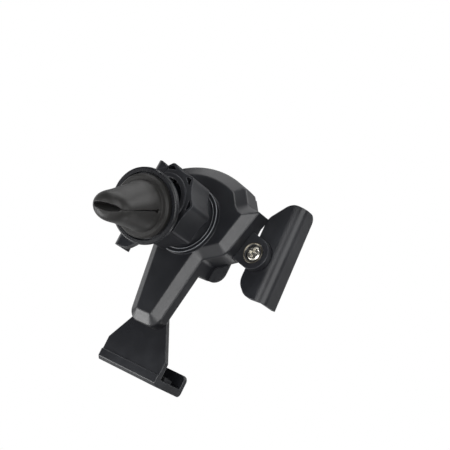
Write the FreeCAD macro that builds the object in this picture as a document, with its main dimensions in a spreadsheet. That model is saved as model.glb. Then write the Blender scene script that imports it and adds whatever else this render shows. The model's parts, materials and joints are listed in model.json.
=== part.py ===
"""Gravity-closing holder that hangs on a car's air vent.

Frame: the origin is the centre of the front pad's face, where the back of a handset rests.
+Z is up along the handset, -Y points from the pad to the handset and the driver, +Y to the vent.
A rubber nose grips a vent blade. A ball and a lock nut carry the body, in which a foot slides
down under the handset's weight and draws two arms with side clamps inwards.
"""
import FreeCAD, Part
import math
import os
import re
import Sketcher
from FreeCAD import Placement, Rotation, Vector

SIZES = (
    # front pad and front cover
    ("pad_thick", 1.2, "front pad, from its face to the cover"),
    ("pad_half", 16.6, "front pad, half its width"),
    ("pad_rise", 16.5, "front pad, half its height"),
    ("pad_corner", 5.0, "front pad, corner radius"),
    ("cover_thick", 2.95, "front cover thickness"),
    ("cover_side", 5.7, "front cover, its sides inwards of the clamp pivots"),
    ("cover_inset", 0.7, "front cover edge, inside the housing's edge"),
    # rear housing: outline seen from behind, half of it, and its depths
    ("brow_in", 4.4, "head, ends of its arched top inwards of the notch"),
    ("brow_up", 19.0, "head, height of the arch's ends"),
    ("brow_arc", 38.0, "head, radius of the arched top"),
    ("head_wall", 3.7, "head, from its cavity to the notch over the shoulder"),
    ("notch_up", 13.4, "head, height of the notch"),
    ("shoulder_in", 2.3, "shoulder, its upper corner inwards of the clamp pivots"),
    ("shoulder_up", 12.4, "shoulder, height of its upper corner"),
    ("hip_in", 7.4, "shoulder, its lower corner inwards of the clamp pivots"),
    ("hip_down", 6.6, "shoulder, its lower corner below the origin"),
    ("root_half", 12.3, "neck, half its width where it leaves the head"),
    ("root_down", 11.4, "neck, where it leaves the head, below the origin"),
    ("end_half", 6.95, "neck, half the width of its blunt end"),
    ("end_down", 41.6, "neck, its blunt end below the origin"),
    ("bend", 2.4, "radius in the housing outline's hollow corners"),
    ("crown_round", 0.9, "radius of the crown's corners at the hips and the neck's end"),
    ("rim_back", 11.65, "housing, outer edge of its bevel"),
    ("crown_back", 14.0, "housing, its flat crown"),
    ("bevel_wide", 4.1, "housing bevel, measured across the crown"),
    ("roof_back", 11.4, "housing, inside face of its roof"),
    ("neck_front", 7.6, "housing, front edge of the neck's side walls"),
    ("neck_step", 17.0, "housing, where those walls begin, below the origin"),
    ("cavity_gap", 2.1, "head cavity, its sides beyond the carriage"),
    ("cavity_up", 18.6, "head cavity, its upper edge"),
    ("cavity_down", 10.2, "head cavity, its lower edge below the origin"),
    ("channel_half", 5.55, "neck channel, half its width"),
    ("channel_end", 39.6, "neck channel, its lower end below the origin"),
    # socket, ball, liner and lock nut, on the line X = 0, Z = 0
    ("lip_wall", 1.75, "locating lip, wall"),
    ("lip_gap", 0.3, "gap between the locating lip and the lock nut's skirt"),
    ("lip_tall", 1.75, "locating lip, height over the crown"),
    ("ball_back", 28.55, "ball centre"),
    ("ball_radius", 8.5, "ball radius"),
    ("ball_gap", 0.12, "running gap between ball, liner and seat"),
    ("liner_thick", 0.8, "liner wall"),
    ("liner_front", 5.5, "liner, how far it reaches before the ball centre"),
    ("liner_mouth", 3.0, "liner, how far it reaches behind the ball centre"),
    ("tube_wall", 0.8, "socket tube wall at the seat"),
    ("tube_short", 1.05, "socket tube end, before the ball centre"),
    ("tube_slot", 1.2, "slots that let the socket tube close"),
    ("slot_root", 21.0, "where those slots begin"),
    ("nut_gap", 0.16, "lock nut bore over the socket tube"),
    ("skirt_wall", 0.75, "lock nut skirt wall"),
    ("skirt_front", 14.5, "lock nut skirt, its front edge"),
    ("nut_tall", 11.4, "lock nut, length of its fluted body"),
    ("nut_over", 5.0, "lock nut, its open face behind the ball centre"),
    ("nut_ridge", 4.25, "lock nut, its ridges over the bore"),
    ("nut_wall", 2.6, "lock nut, wall behind the flutes"),
    ("flute_radius", 17.0, "lock nut, radius of each flute"),
    ("flute_count", 8, "lock nut, flutes"),
    ("flute_turn", 82.9, "lock nut, angle of a ridge from +X towards +Z"),
    ("pocket_in", 1.8, "lock nut pockets, inner radius over the bore"),
    ("pocket_out", 3.4, "lock nut pockets, outer radius over the bore"),
    ("pocket_half", 2.3, "lock nut pockets, half their width"),
    ("pocket_deep", 5.0, "lock nut pockets, depth"),
    ("face_ring", 0.3, "lock nut, raised ring round its mouth, radius over the bore"),
    ("nut_mouth", 1.4, "lock nut, its open mouth, radius below the bore"),
    ("face_step", 0.5, "lock nut, height of that ring"),
    # clip, measured from the ball centre along its own axis
    ("clip_pan", 9.0, "clip axis, turned about Z"),
    ("clip_tilt", -21.5, "clip axis, tilted about X"),
    ("clip_roll", 7.0, "clip, turned about its own axis"),
    ("stud_radius", 3.2, "ball stud neck"),
    ("journal_radius", 2.5, "ball stud journal in the cup"),
    ("journal_gap", 0.06, "running gap round the journal"),
    ("cup_start", 11.3, "cup, its outer back face"),
    ("cup_floor", 13.2, "cup, its inner floor"),
    ("cup_base", 7.0, "cup, radius of its back face"),
    ("cup_radius", 13.1, "cup, outer radius"),
    ("cup_wall", 1.05, "cup, wall of its rim"),
    ("cup_end", 15.3, "cup, its front edge"),
    ("cup_band", 0.35, "cup, band that stands out of its wall"),
    ("ring_wall", 0.65, "rim ring, wall over the cup"),
    ("ring_start", 14.3, "rim ring, its back edge"),
    ("ring_end", 15.7, "rim ring, its front edge"),
    ("washer_radius", 4.4, "washer under the clip screw, outer radius"),
    ("washer_thick", 0.5, "washer thickness"),
    ("clip_screw_head", 2.4, "clip screw, head radius"),
    ("clip_screw_tall", 1.0, "clip screw, head height"),
    ("clip_screw_shank", 0.95, "clip screw, shank radius"),
    ("clip_screw_long", 5.0, "clip screw, shank inside the stud"),
    ("core_gap", 0.1, "gap between the nose core, the cup and the rubber"),
    ("core_flange", 1.5, "nose core, flange thickness"),
    ("core_hollow", 4.8, "nose core, hollow over the clip screw"),
    ("core_boss", 6.8, "nose core, boss radius"),
    ("core_boss_end", 18.4, "nose core, end of the boss"),
    ("prong_end", 31.5, "nose core, end of its two prongs"),
    ("prong_half", 4.6, "nose core prongs, half their width"),
    ("prong_low", 2.0, "nose core prongs, nearest face to the slit's plane"),
    ("prong_high", 3.6, "nose core prongs, farthest face from the slit's plane"),
    ("flange_gap", 0.65, "rubber nose, gap between its flange and the cup's rim"),
    ("nose_flange_end", 16.8, "rubber nose, front of the flange"),
    ("flange_bevel", 0.7, "rubber nose, bevel of the flange"),
    ("nose_root", 9.4, "rubber nose, radius at its root"),
    ("nose_end", 38.0, "rubber nose, its tip"),
    ("slit_half", 0.3, "slit, half its width"),
    ("slit_start", 19.3, "slit, its blind end"),
    ("keyhole", 0.75, "radius of the hole at the slit's blind end"),
    ("mouth_long", 8.0, "mouth, depth from the tip"),
    ("mouth_wide", 5.9, "mouth, half its width"),
    ("mouth_tall", 1.35, "mouth, half its opening"),
    # foot and carriage
    ("plate_front", 5.15, "foot plate, its front face"),
    ("plate_thick", 2.2, "foot plate thickness"),
    ("foot_half", 14.8, "foot, half its width"),
    ("foot_down", 60.3, "foot, underside of its shelf below the origin"),
    ("shelf_thick", 2.9, "shelf thickness"),
    ("shelf_reach", 10.15, "shelf, how far it reaches before the pad's face"),
    ("heel_back", 7.95, "heel, the thickened lower back edge"),
    ("heel_tall", 4.2, "heel height"),
    ("heel_bevel", 1.2, "heel bevel"),
    ("lip_thick", 2.0, "hook at the shelf's front, thickness"),
    ("hook_tall", 8.3, "hook height over the shelf's underside"),
    ("toe_round", 1.8, "radius of the hook's lower edge"),
    ("taper_low", 51.0, "foot plate, where it begins to narrow, below the origin"),
    ("taper_high", 35.6, "foot plate, where it is narrow, below the origin"),
    ("stem_half", 6.0, "foot plate, half its narrow width"),
    ("stem_top", 17.0, "foot plate, its upper end below the origin"),
    ("foot_pad_thick", 1.6, "rubber pad on the shelf"),
    ("foot_pad_half", 10.0, "rubber pad, half its width"),
    ("foot_pad_deep", 5.0, "rubber pad, from front to back"),
    ("slide_up", 9.0, "foot, travel upwards from the modelled place"),
    ("slide_down", 1.0, "foot, travel downwards from the modelled place"),
    ("arm_ratio", 0.8, "arm travel for each millimetre of foot travel"),
    ("carriage_thick", 2.4, "carriage thickness"),
    ("carriage_up", 9.9, "carriage, its upper edge"),
    ("carriage_top_half", 5.2, "carriage, half the width of its top and tail"),
    ("carriage_margin", 1.27, "carriage, beyond the outer ends of its slots"),
    ("carriage_tail", 25.8, "carriage, lower end of its tail below the origin"),
    ("slide_gap", 0.2, "gap between parts that slide face to face"),
    ("joining_up", 19.4, "upper carriage screw below the origin"),
    ("joining_down", 23.7, "lower carriage screw below the origin"),
    # arms, pins, clamps and their screws
    ("arm_slope", 15.0, "arms, slope down and outwards"),
    ("pivot_out", 8.1, "clamp pivots, outwards of the notch over the shoulder"),
    ("pivot_down", 1.7, "clamp pivots, below the origin"),
    ("arm_back", 7.15, "arms, their back face"),
    ("arm_thick", 2.8, "arms, thickness"),
    ("arm_half", 6.1, "arms, half their width"),
    ("arm_inner", 1.6, "arms, distance of the inner end from the middle"),
    ("pin_half", 4.6, "arm pins, distance from the middle"),
    ("pin_up", 6.2, "arm pins, height over the origin"),
    ("pin_radius", 1.5, "arm pins, radius"),
    ("pin_gap", 0.08, "arm pins, running gap in the carriage slots"),
    ("rim_radius", 3.85, "raised rim round a clamp screw, outer radius"),
    ("rim_tall", 0.35, "that rim's height"),
    ("screw_head", 2.8, "clamp screw, head radius"),
    ("screw_head_tall", 1.35, "clamp screw, head height"),
    ("screw_sink", 1.2, "clamp screw, depth of its seat below the arm's face"),
    ("screw_body", 2.0, "clamp screw, plain shank radius"),
    ("screw_thread", 1.3, "clamp screw, thread radius in the clamp"),
    ("screw_gap", 0.06, "running gap round the plain shank"),
    ("clamp_splay", 2.0, "clamps, lean outwards at the bottom"),
    ("clamp_reach", 9.8, "clamps, outer face from the pivot"),
    ("clamp_wall", 1.5, "clamps, side wall thickness"),
    ("clamp_top", 22.6, "clamps, top over the pivot"),
    ("clamp_bottom", 15.6, "clamps, bottom below the pivot"),
    ("clamp_front_top", 5.7, "clamps, front edge at the top before the pad's face"),
    ("clamp_front_low", 6.85, "clamps, front edge at the bottom before the pad's face"),
    ("clamp_plate_front", 1.65, "clamps, front face of the back plate"),
    ("clamp_plate_back", 3.95, "clamps, back face of the back plate"),
    ("clamp_inner", 2.7, "clamps, inner edge of the back plate from the pivot"),
    ("clamp_edge_top", 14.6, "clamps, where that edge ends over the pivot"),
    ("clamp_edge_low", 11.2, "clamps, where that edge ends below the pivot"),
    ("clamp_cut_top", 4.4, "clamps, upper corner cut from the pivot"),
    ("clamp_cut_low", 1.8, "clamps, lower corner cut from the pivot"),
    ("clamp_round", 2.2, "clamps, radius of the back corner"),
    ("clamp_nose", 3.2, "clamps, radius of the front edge's upper corner"),
    ("clamp_blend", 6.0, "clamps, radius of the back plate's inner corners"),
    ("clamp_boss", 4.4, "clamps, boss under the arm, radius"),
    ("clamp_pad_thick", 0.9, "clamp pad thickness"),
    ("clamp_pad_margin", 2.6, "clamp pad, inside the clamp's ends"),
    ("clamp_pad_front", 3.4, "clamp pad, how far it reaches before the pad's face"),
    ("clamp_pad_back", 1.0, "clamp pad, how far it reaches behind the pad's face"),
    # cover screws
    ("high_screw_half", 13.5, "upper cover screws, distance from the middle"),
    ("high_screw_up", 14.0, "upper cover screws, height over the origin"),
    ("low_screw_half", 8.8, "lower cover screws, distance from the middle"),
    ("low_screw_down", 13.6, "lower cover screws, below the origin"),
    ("boss_radius", 2.5, "upper screw bosses, radius"),
    ("small_head", 1.9, "small screws, head radius"),
    ("small_head_tall", 1.1, "small screws, head height"),
    ("small_shank", 0.9, "small screws, shank radius"),
    ("small_long", 5.6, "cover screws, shank length"),
    ("joining_long", 3.2, "carriage screws, shank length"),
    ("small_gap", 0.1, "small screws, gap round the head and shank"),
)
NAMES = {alias for alias, amount, note in SIZES}
DERIVED = {
    "carriage_half": "(pin_half + arm_ratio * slide_up * cos(arm_slope) + pin_radius + pin_gap"
                     " + carriage_margin)",
    "cavity_half": "(carriage_half + cavity_gap)",
    "notch_half": "(cavity_half + head_wall)",
    "brow_half": "(notch_half - brow_in)",
    "pivot_half": "(notch_half + pivot_out)",
    "nut_back": "(ball_back + nut_over)",
    "nut_front": "(ball_back + nut_over - nut_tall)",
    "cup_bore": "(cup_radius - cup_wall)",
    "ring_radius": "(cup_radius + ring_wall)",
    "nose_flange": "(cup_radius - cup_wall - flange_gap)",
}
BACKWARDS = Rotation(Vector(1, 0, 0), -90)
SIDES = (("left", "-1"), ("right", "1"))
CLIP_PLACE = ("placement(vector(0; ball_back; 0); rotation(vector(0; 0; 1); clip_pan)"
              " * rotation(vector(1; 0; 0); clip_tilt - 90) * rotation(vector(0; 0; 1); clip_roll))")
NUT_PLACE = "placement(vector(0; 0; 0); rotation(vector(1; 0; 0); -90))"

doc = FreeCAD.newDocument("vent_holder")
sheet = doc.addObject("Spreadsheet::Sheet", "Sizes")
for row, (alias, amount, note) in enumerate(SIZES, start=1):
    sheet.set("A%d" % row, note)
    sheet.set("B%d" % row, str(amount))
    sheet.setAlias("B%d" % row, alias)
doc.recompute()
nodes = []


def cell(formula):
    """A formula with its size names turned into references to the sheet, and derived sizes written out."""
    def reference(match):
        name = match.group()
        if name in DERIVED:
            return cell(DERIVED[name])
        return "Sizes." + name if name in NAMES else name

    return re.sub(r"[a-z_]+", reference, str(formula))


def value(formula):
    """The number that a formula gives with the sheet's sizes."""
    return float(sheet.evalExpression(cell(formula)))


def bind(thing, **formulas):
    """Ties properties to formulas; a double underscore stands for a point in a property's path."""
    for prop, formula in formulas.items():
        thing.setExpression(prop.replace("__", "."), cell(formula))
    return thing


def node(thing, label):
    """Marks the object that holds a finished sub-part and gives it its name."""
    thing.Label = label
    nodes.append(thing)
    return thing


# outlines

def fix_point(sketch, index, end, x, y):
    """Ties one end of a sketch line or a circle's centre to two formulas."""
    for kind, formula in (("DistanceX", x), ("DistanceY", y)):
        spot = sketch.addConstraint(Sketcher.Constraint(kind, -1, 1, index, end, value(formula)))
        sketch.setExpression("Constraints[%d]" % spot, cell(formula))


def outline(sketch, points):
    """Draws a closed outline of straight sides through (x, y) points."""
    spots = [Vector(value(p[0]), value(p[1]), 0) for p in points]
    count = len(points)
    for index, start in enumerate(spots):
        sketch.addGeometry(Part.LineSegment(start, spots[(index + 1) % count]))
    for index in range(count):
        sketch.addConstraint(Sketcher.Constraint("Coincident", index, 2, (index + 1) % count, 1))
    for index, point in enumerate(points):
        fix_point(sketch, index, 1, point[0], point[1])


def rounded_outline(sketch, corners):
    """Draws a closed outline with rounded corners.

    Each corner is (x, y), (x, y, radius), or (x, y, None, top) for an arc to the next over a point at x = 0.
    """
    spots = [Vector(value(c[0]), value(c[1]), 0) for c in corners]
    count = len(corners)
    radii = [value(c[2]) if len(c) > 2 and c[2] else 0 for c in corners]
    first, last = [], []
    for index, spot in enumerate(spots):
        ways = [(spots[index - 1] - spot).normalize(), (spots[(index + 1) % count] - spot).normalize()]
        back = radii[index] / math.tan(ways[0].getAngle(ways[1]) / 2)
        last.append(spot + ways[0] * back)
        first.append(spot + ways[1] * back)
    sides = []
    for index, corner in enumerate(corners):
        start, end = first[index], last[(index + 1) % count]
        if len(corner) > 3:
            sides.append(sketch.addGeometry(Part.Arc(start, Vector(0, value(corner[3]), 0), end)))
        else:
            sides.append(sketch.addGeometry(Part.LineSegment(start, end)))
    for index, corner in enumerate(corners):
        before, after = sides[index - 1], sides[index]
        if not radii[index]:
            sketch.addConstraint(Sketcher.Constraint("Coincident", before, 2, after, 1))
            fix_point(sketch, after, 1, corner[0], corner[1])
            continue
        inwards = (last[index] + first[index]) / 2 - spots[index]
        reach = math.hypot(radii[index], (last[index] - spots[index]).Length)
        middle = spots[index] + inwards.normalize() * (reach - radii[index])
        bow = sketch.addGeometry(Part.Arc(last[index], middle, first[index]))
        turns_left = (last[index] - middle).cross(first[index] - middle).z < 0
        start, end = (1, 2) if turns_left else (2, 1)
        sketch.addConstraint(Sketcher.Constraint("Tangent", before, 2, bow, start))
        sketch.addConstraint(Sketcher.Constraint("Tangent", after, 1, bow, end))
        spot = sketch.addConstraint(Sketcher.Constraint("Radius", bow, radii[index]))
        sketch.setExpression("Constraints[%d]" % spot, cell(corner[2]))
        mark = sketch.addGeometry(Part.Point(spots[index]), True)
        fix_point(sketch, mark, 1, corner[0], corner[1])
        for side in (before, after):
            sketch.addConstraint(Sketcher.Constraint("PointOnObject", mark, 1, side))


def circle(sketch, x, y, radius):
    """Draws a circle."""
    index = sketch.addGeometry(Part.Circle(Vector(value(x), value(y), 0), Vector(0, 0, 1), value(radius)))
    fix_point(sketch, index, 3, x, y)
    spot = sketch.addConstraint(Sketcher.Constraint("Radius", index, value(radius)))
    sketch.setExpression("Constraints[%d]" % spot, cell(radius))


def mirrored(points):
    """An outline's right half, listed from top to bottom, followed by its mirror image."""
    left = [("-(%s)" % p[0], p[1]) for p in reversed(points) if p[0] != "0"]
    return points + left


# features of a body

def origin_plane(body, role):
    """One of a body's own origin planes."""
    return next(f for f in body.Origin.OriginFeatures if f.Role == role)


def new_body(label, place=None):
    """An empty body for one sub-part."""
    body = node(doc.addObject("PartDesign::Body", label), label)
    if place:
        bind(body, Placement=place)
    return body


def body_sketch(body, role, level, sign=1):
    """An empty sketch on one of a body's planes, moved along the plane's normal."""
    sketch = body.newObject("Sketcher::SketchObject", body.Name + "_drawing")
    sketch.AttachmentSupport = (origin_plane(body, role), [""])
    sketch.MapMode = "FlatFace"
    bind(sketch, AttachmentOffset__Base__z="%d * (%s)" % (sign, level))
    return sketch


def raised(body, low, high, draw, role="XZ_Plane"):
    """Pads what draw puts in a sketch from low to high, along +Y on the XZ plane and +Z on the XY plane."""
    back = role == "XZ_Plane"
    sketch = body_sketch(body, role, low, -1 if back else 1)
    draw(sketch)
    pad = body.newObject("PartDesign::Pad", body.Name + "_raised")
    pad.Profile = sketch
    pad.Reversed = back
    bind(pad, Length="(%s) - (%s)" % (high, low))
    return pad


def sunk(body, low, high, draw, role="XZ_Plane"):
    """Cuts what draw puts in a sketch out of the body, from low to high."""
    back = role == "XZ_Plane"
    sketch = body_sketch(body, role, low, -1 if back else 1)
    draw(sketch)
    pocket = body.newObject("PartDesign::Pocket", body.Name + "_sunk")
    pocket.Profile = sketch
    pocket.Reversed = not back
    bind(pocket, Length="(%s) - (%s)" % (high, low))
    return pocket


def turned(body, points):
    """Turns an outline of (radius, z) points about the body's Z axis."""
    sketch = body_sketch(body, "XZ_Plane", "0")
    outline(sketch, points)
    turn = body.newObject("PartDesign::Revolution", body.Name + "_turn")
    turn.Profile = sketch
    turn.ReferenceAxis = (sketch, ["V_Axis"])
    turn.Angle = 360
    return turn


def ball_shape(body, kind, radius):
    """Adds or takes away a sphere at the body's origin."""
    sphere = body.newObject("PartDesign::%sSphere" % kind, body.Name + "_sphere")
    sphere.AttachmentSupport = (origin_plane(body, "XY_Plane"), [""])
    sphere.MapMode = "FlatFace"
    bind(sphere, Radius=radius)
    return sphere


def edges_where(shape, test):
    """Names of a shape's edges whose two ends pass the test."""
    names = []
    for index, edge in enumerate(shape.Edges, start=1):
        if len(edge.Vertexes) == 2 and test(edge.Vertexes[0].Point, edge.Vertexes[1].Point):
            names.append("Edge%d" % index)
    return names


def rounded(body, radius, test, kind="Fillet"):
    """Rounds or bevels the edges of a body's last feature that pass the test."""
    doc.recompute()
    base = body.Tip
    feature = body.newObject("PartDesign::" + kind, body.Name + "_" + kind.lower())
    feature.Base = (base, edges_where(base.Shape, test))
    bind(feature, **{"Radius" if kind == "Fillet" else "Size": radius})
    return feature


def near(*pairs):
    """Whether each number of a pair is within a hundredth of a millimetre of the other."""
    return all(abs(a - b) < 0.01 for a, b in pairs)


def along_y(x, z):
    """A test for edges that run along Y at one place."""
    return lambda a, b: near((a.x, b.x), (a.z, b.z), (a.x, value(x)), (a.z, value(z)))


# small turned pieces made of primitives

def primitive(kind, name, place, **formulas):
    """A primitive, placed by a formula."""
    return bind(doc.addObject("Part::" + kind, name), Placement=place, **formulas)


def at(x, y, z, turn=-90):
    """A place whose Z axis points along +Y, or along -Y with a turn of 90."""
    return "placement(vector(%s; %s; %s); rotation(vector(1; 0; 0); %d))" % (x, y, z, turn)


def small_screw(name, x, z, head_face, length):
    """A countersunk screw that points along +Y, its head's face at head_face."""
    head = primitive("Cone", name + "_head", at(x, head_face, z), Radius1="small_head",
                     Radius2="small_shank", Height="small_head_tall")
    shank = primitive("Cylinder", name + "_shank", at(x, head_face, z), Radius="small_shank",
                      Height="small_head_tall + %s" % length)
    screw = doc.addObject("Part::Fuse", name)
    screw.Base, screw.Tool = head, shank
    return screw


# formulas that several pieces share

COVER_BACK = "(pad_thick + cover_thick)"
PLATE_BACK = "(plate_front + plate_thick)"
CARRIAGE_FRONT = PLATE_BACK
CARRIAGE_BACK = "(plate_front + plate_thick + carriage_thick)"
ARM_FRONT = "(arm_back - arm_thick)"
LINER_INNER = "(ball_radius + ball_gap)"
LINER_OUTER = "(ball_radius + ball_gap + liner_thick)"
SEAT_RADIUS = "(ball_radius + 2 * ball_gap + liner_thick)"
TUBE_RADIUS = "(ball_radius + 2 * ball_gap + liner_thick + tube_wall)"
TUBE_END = "(ball_back - tube_short)"
NUT_BORE = "(ball_radius + 2 * ball_gap + liner_thick + tube_wall + nut_gap)"
LIP_INNER = "(ball_radius + 2 * ball_gap + liner_thick + tube_wall + nut_gap + skirt_wall + lip_gap)"
SHOULDER = "(pivot_half - shoulder_in)"
HIP = "(pivot_half - hip_in)"
COVER_HALF = "(pivot_half - cover_side)"
SHELF_TOP = "(-foot_down + shelf_thick)"
BROW_TOP = "(brow_up + brow_arc - sqrt(brow_arc ^ 2 - brow_half ^ 2))"
COVER_SCREWS = (("high_screw_half", "high_screw_up"), ("low_screw_half", "-low_screw_down"))
JOINING_SCREWS = ("-joining_up", "-joining_down")


def arm_edge(side, x, half):
    """The point of an arm's upper or lower edge, half away from its centre line, at x from the middle."""
    return ("%s * (%s)" % (side, x),
            "-pivot_down + (pivot_half - (%s)) * tan(arm_slope) + (%s) / cos(arm_slope)" % (x, half))


def arm_end(side, half):
    """The point of an arm's edge beside its pivot."""
    return ("%s * (pivot_half + (%s) * sin(arm_slope))" % (side, half),
            "-pivot_down + (%s) * cos(arm_slope)" % half)


def pin_in_carriage(side, travel):
    """Where an arm's pin stands in the carriage once the foot has moved up by travel."""
    return ("%s * (pin_half + arm_ratio * (%s) * cos(arm_slope))" % (side, travel),
            "pin_up - arm_ratio * (%s) * sin(arm_slope) - (%s)" % (travel, travel))


# rear housing

def loose_sketch(name, level, points):
    """A free sketch in the plane Y = level, its X along X and its Y along Z."""
    sketch = doc.addObject("Sketcher::SketchObject", name)
    rounded_outline(sketch, points)
    return bind(sketch, Placement="placement(vector(0; %s; 0); rotation(vector(1; 0; 0); 90))" % level)


def prism(name, points, low, high):
    """A solid with an outline in XZ, from Y = low to Y = high."""
    solid = doc.addObject("Part::Extrusion", name)
    solid.Base = loose_sketch(name + "_outline", low, points)
    solid.DirMode = "Custom"
    solid.Dir = Vector(0, 1, 0)
    solid.Solid = True
    return bind(solid, LengthFwd="(%s) - (%s)" % (high, low))


def joined(kind, name, pieces):
    """One solid fused from several, or the first with the rest cut away."""
    if kind == "fuse":
        whole = doc.addObject("Part::MultiFuse", name)
        whole.Shapes = pieces
        return whole
    whole = doc.addObject("Part::Cut", name)
    tools = pieces[1:]
    whole.Base = pieces[0]
    whole.Tool = tools[0] if len(tools) == 1 else joined("fuse", name + "_tools", tools)
    return whole


def housing_outline():
    """The housing seen from behind: arched head, square shoulders and a neck that narrows to a blunt end."""
    outer = "bevel_wide + crown_round"
    right = [("end_half", "-end_down", outer), ("root_half", "-root_down", "bend"), (HIP, "-hip_down", outer),
             (SHOULDER, "shoulder_up"), ("notch_half", "notch_up", "bend"), ("brow_half", "brow_up")]
    left = [("-" + corner[0],) + corner[1:] for corner in reversed(right)]
    right[-1] += (None, BROW_TOP)
    return right + left


def bevelled_crown():
    """The housing's flat crown with the bevel that runs all round it."""
    low = loose_sketch("bevel_foot", "rim_back", housing_outline())
    level = loose_sketch("crown_level", "crown_back", housing_outline())
    edge = doc.addObject("Part::Offset2D", "crown_edge")
    edge.Source = level
    edge.Join = 2
    bind(edge, Value="-bevel_wide")
    crown = doc.addObject("Part::Loft", "crown")
    crown.Sections = [low, edge]
    crown.Solid = True
    crown.Ruled = True
    return crown


def build_housing():
    """Rear housing: bevelled shell, head cavity, neck channel, arm guides, socket tube and screw bosses."""
    walls = prism("housing_walls", housing_outline(), COVER_BACK, "rim_back")
    tube = primitive("Cylinder", "socket_tube", at(0, "roof_back", 0), Radius=TUBE_RADIUS,
                     Height=TUBE_END + " - roof_back")
    lip = primitive("Cylinder", "lip_disc", at(0, "roof_back", 0), Radius=LIP_INNER + " + lip_wall",
                    Height="crown_back + lip_tall - roof_back")
    lip_hollow = primitive("Cylinder", "lip_hollow", at(0, "crown_back", 0), Radius=LIP_INNER,
                           Height="lip_tall")
    lip_ring = joined("cut", "locating_lip", [lip, lip_hollow])
    outside = joined("fuse", "housing_outside", [walls, bevelled_crown(), lip_ring, tube])
    cavity = [("0", "cavity_up + 1.6"), ("cavity_half - 6.5", "cavity_up + 0.2"),
              ("cavity_half - 2", "cavity_up - 1.8"), ("cavity_half", "cavity_up - 4.1"),
              ("cavity_half", "-cavity_down + 3"), ("cavity_half - 5", "-cavity_down")]
    stem = "stem_half + slide_gap"
    cuts = [
        prism("head_cavity", mirrored(cavity), COVER_BACK, "roof_back"),
        prism("neck_channel", mirrored([("channel_half", "0"), ("channel_half", "-channel_end")]),
              COVER_BACK, "roof_back"),
        prism("stem_relief", mirrored([(stem, "0"), (stem, "-neck_step - 1")]), COVER_BACK, "neck_front"),
        prism("neck_relief", mirrored([("foot_half", "-neck_step"), ("foot_half", "-foot_down")]),
              COVER_BACK, "neck_front"),
        primitive("Sphere", "liner_seat", at(0, "ball_back", 0), Radius=SEAT_RADIUS),
    ]
    for name, turn in (("tube_slot_wide", 0), ("tube_slot_tall", 90)):
        place = ("placement(vector(0; slot_root; 0); rotation(vector(0; 1; 0); %d))"
                 " * placement(vector(-%s; 0; -tube_slot / 2); rotation(vector(0; 0; 1); 0))"
                 % (turn, LIP_INNER))
        cuts.append(primitive("Box", name, place, Length="2 * " + LIP_INNER, Width="ball_back - slot_root",
                              Height="tube_slot"))
    for name, side in SIDES:
        upper, lower = "arm_half + slide_gap", "-arm_half - slide_gap"
        inner, outer = "cavity_half - 8", SHOULDER + " + 4"
        guide = [arm_edge(side, inner, upper), arm_edge(side, inner, lower), arm_edge(side, outer, lower),
                 arm_edge(side, outer, upper)]
        cuts.append(prism(name + "_guide", guide, COVER_BACK, "arm_back + slide_gap"))
    shell = joined("cut", "housing_shell", [outside] + cuts)
    bosses = []
    holes = []
    for number, (x, z) in enumerate(COVER_SCREWS):
        for name, side in SIDES:
            spot = "%s * %s" % (side, x)
            if number == 0:
                bosses.append(primitive("Cylinder", "%s_boss" % name, at(spot, COVER_BACK, z),
                                        Radius="boss_radius", Height="roof_back + 0.3 - " + COVER_BACK))
            holes.append(primitive("Cylinder", "%s_thread_%d" % (name, number), at(spot, COVER_BACK, z),
                                   Radius="small_shank",
                                   Height="small_long - cover_thick + small_head_tall + 0.4"))
    bossed = joined("fuse", "housing_bossed", [shell] + bosses)
    return node(joined("cut", "rear_housing", [bossed] + holes), "rear_housing")


# front cover and pad

def build_cover():
    """Front cover: a plate that closes the head, with countersunk holes for its four screws."""
    cover = new_body("front_cover")
    inset = "cover_inset"
    right = [("0", "brow_up + 1.2"), ("brow_half - " + inset, "brow_up - " + inset),
             ("notch_half - " + inset, "notch_up - " + inset), (COVER_HALF, "shoulder_up - " + inset),
             (COVER_HALF, "0"), (HIP + " - " + inset, "-hip_down + " + inset),
             ("root_half - " + inset, "-root_down + 0.2"), ("root_half - 1.2", "-neck_step + 0.2")]
    raised(cover, "pad_thick", COVER_BACK, lambda s: outline(s, mirrored(right)))
    for x, z in COVER_SCREWS:
        for name, side in SIDES:
            spot = "%s * %s" % (side, x)
            sunk(cover, "pad_thick", COVER_BACK, lambda s: circle(s, spot, z, "small_shank + small_gap"))
            sunk(cover, "pad_thick", "pad_thick + small_head_tall + small_gap",
                 lambda s: circle(s, spot, z, "small_head + small_gap"))
    pad = new_body("front_pad")
    square = mirrored([("pad_half", "pad_rise"), ("pad_half", "-pad_rise")])
    raised(pad, "0", "pad_thick", lambda s: outline(s, square))
    corners = [(x, z) for x in ("pad_half", "-pad_half") for z in ("pad_rise", "-pad_rise")]
    rounded(pad, "pad_corner", lambda a, b: any(along_y(*c)(a, b) for c in corners))
    return cover, pad


def build_cover_screws():
    """The four screws that hold the cover, as one group."""
    screws = []
    for number, (x, z) in enumerate(COVER_SCREWS):
        for name, side in SIDES:
            screws.append(small_screw("%s_cover_screw_%d" % (name, number), "%s * %s" % (side, x), z,
                                      "pad_thick + small_gap", "small_long - small_head_tall - small_gap"))
    group = doc.addObject("Part::Compound", "cover_screws")
    group.Links = screws
    return node(group, "cover_screws")


# foot, carriage and their screws

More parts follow.
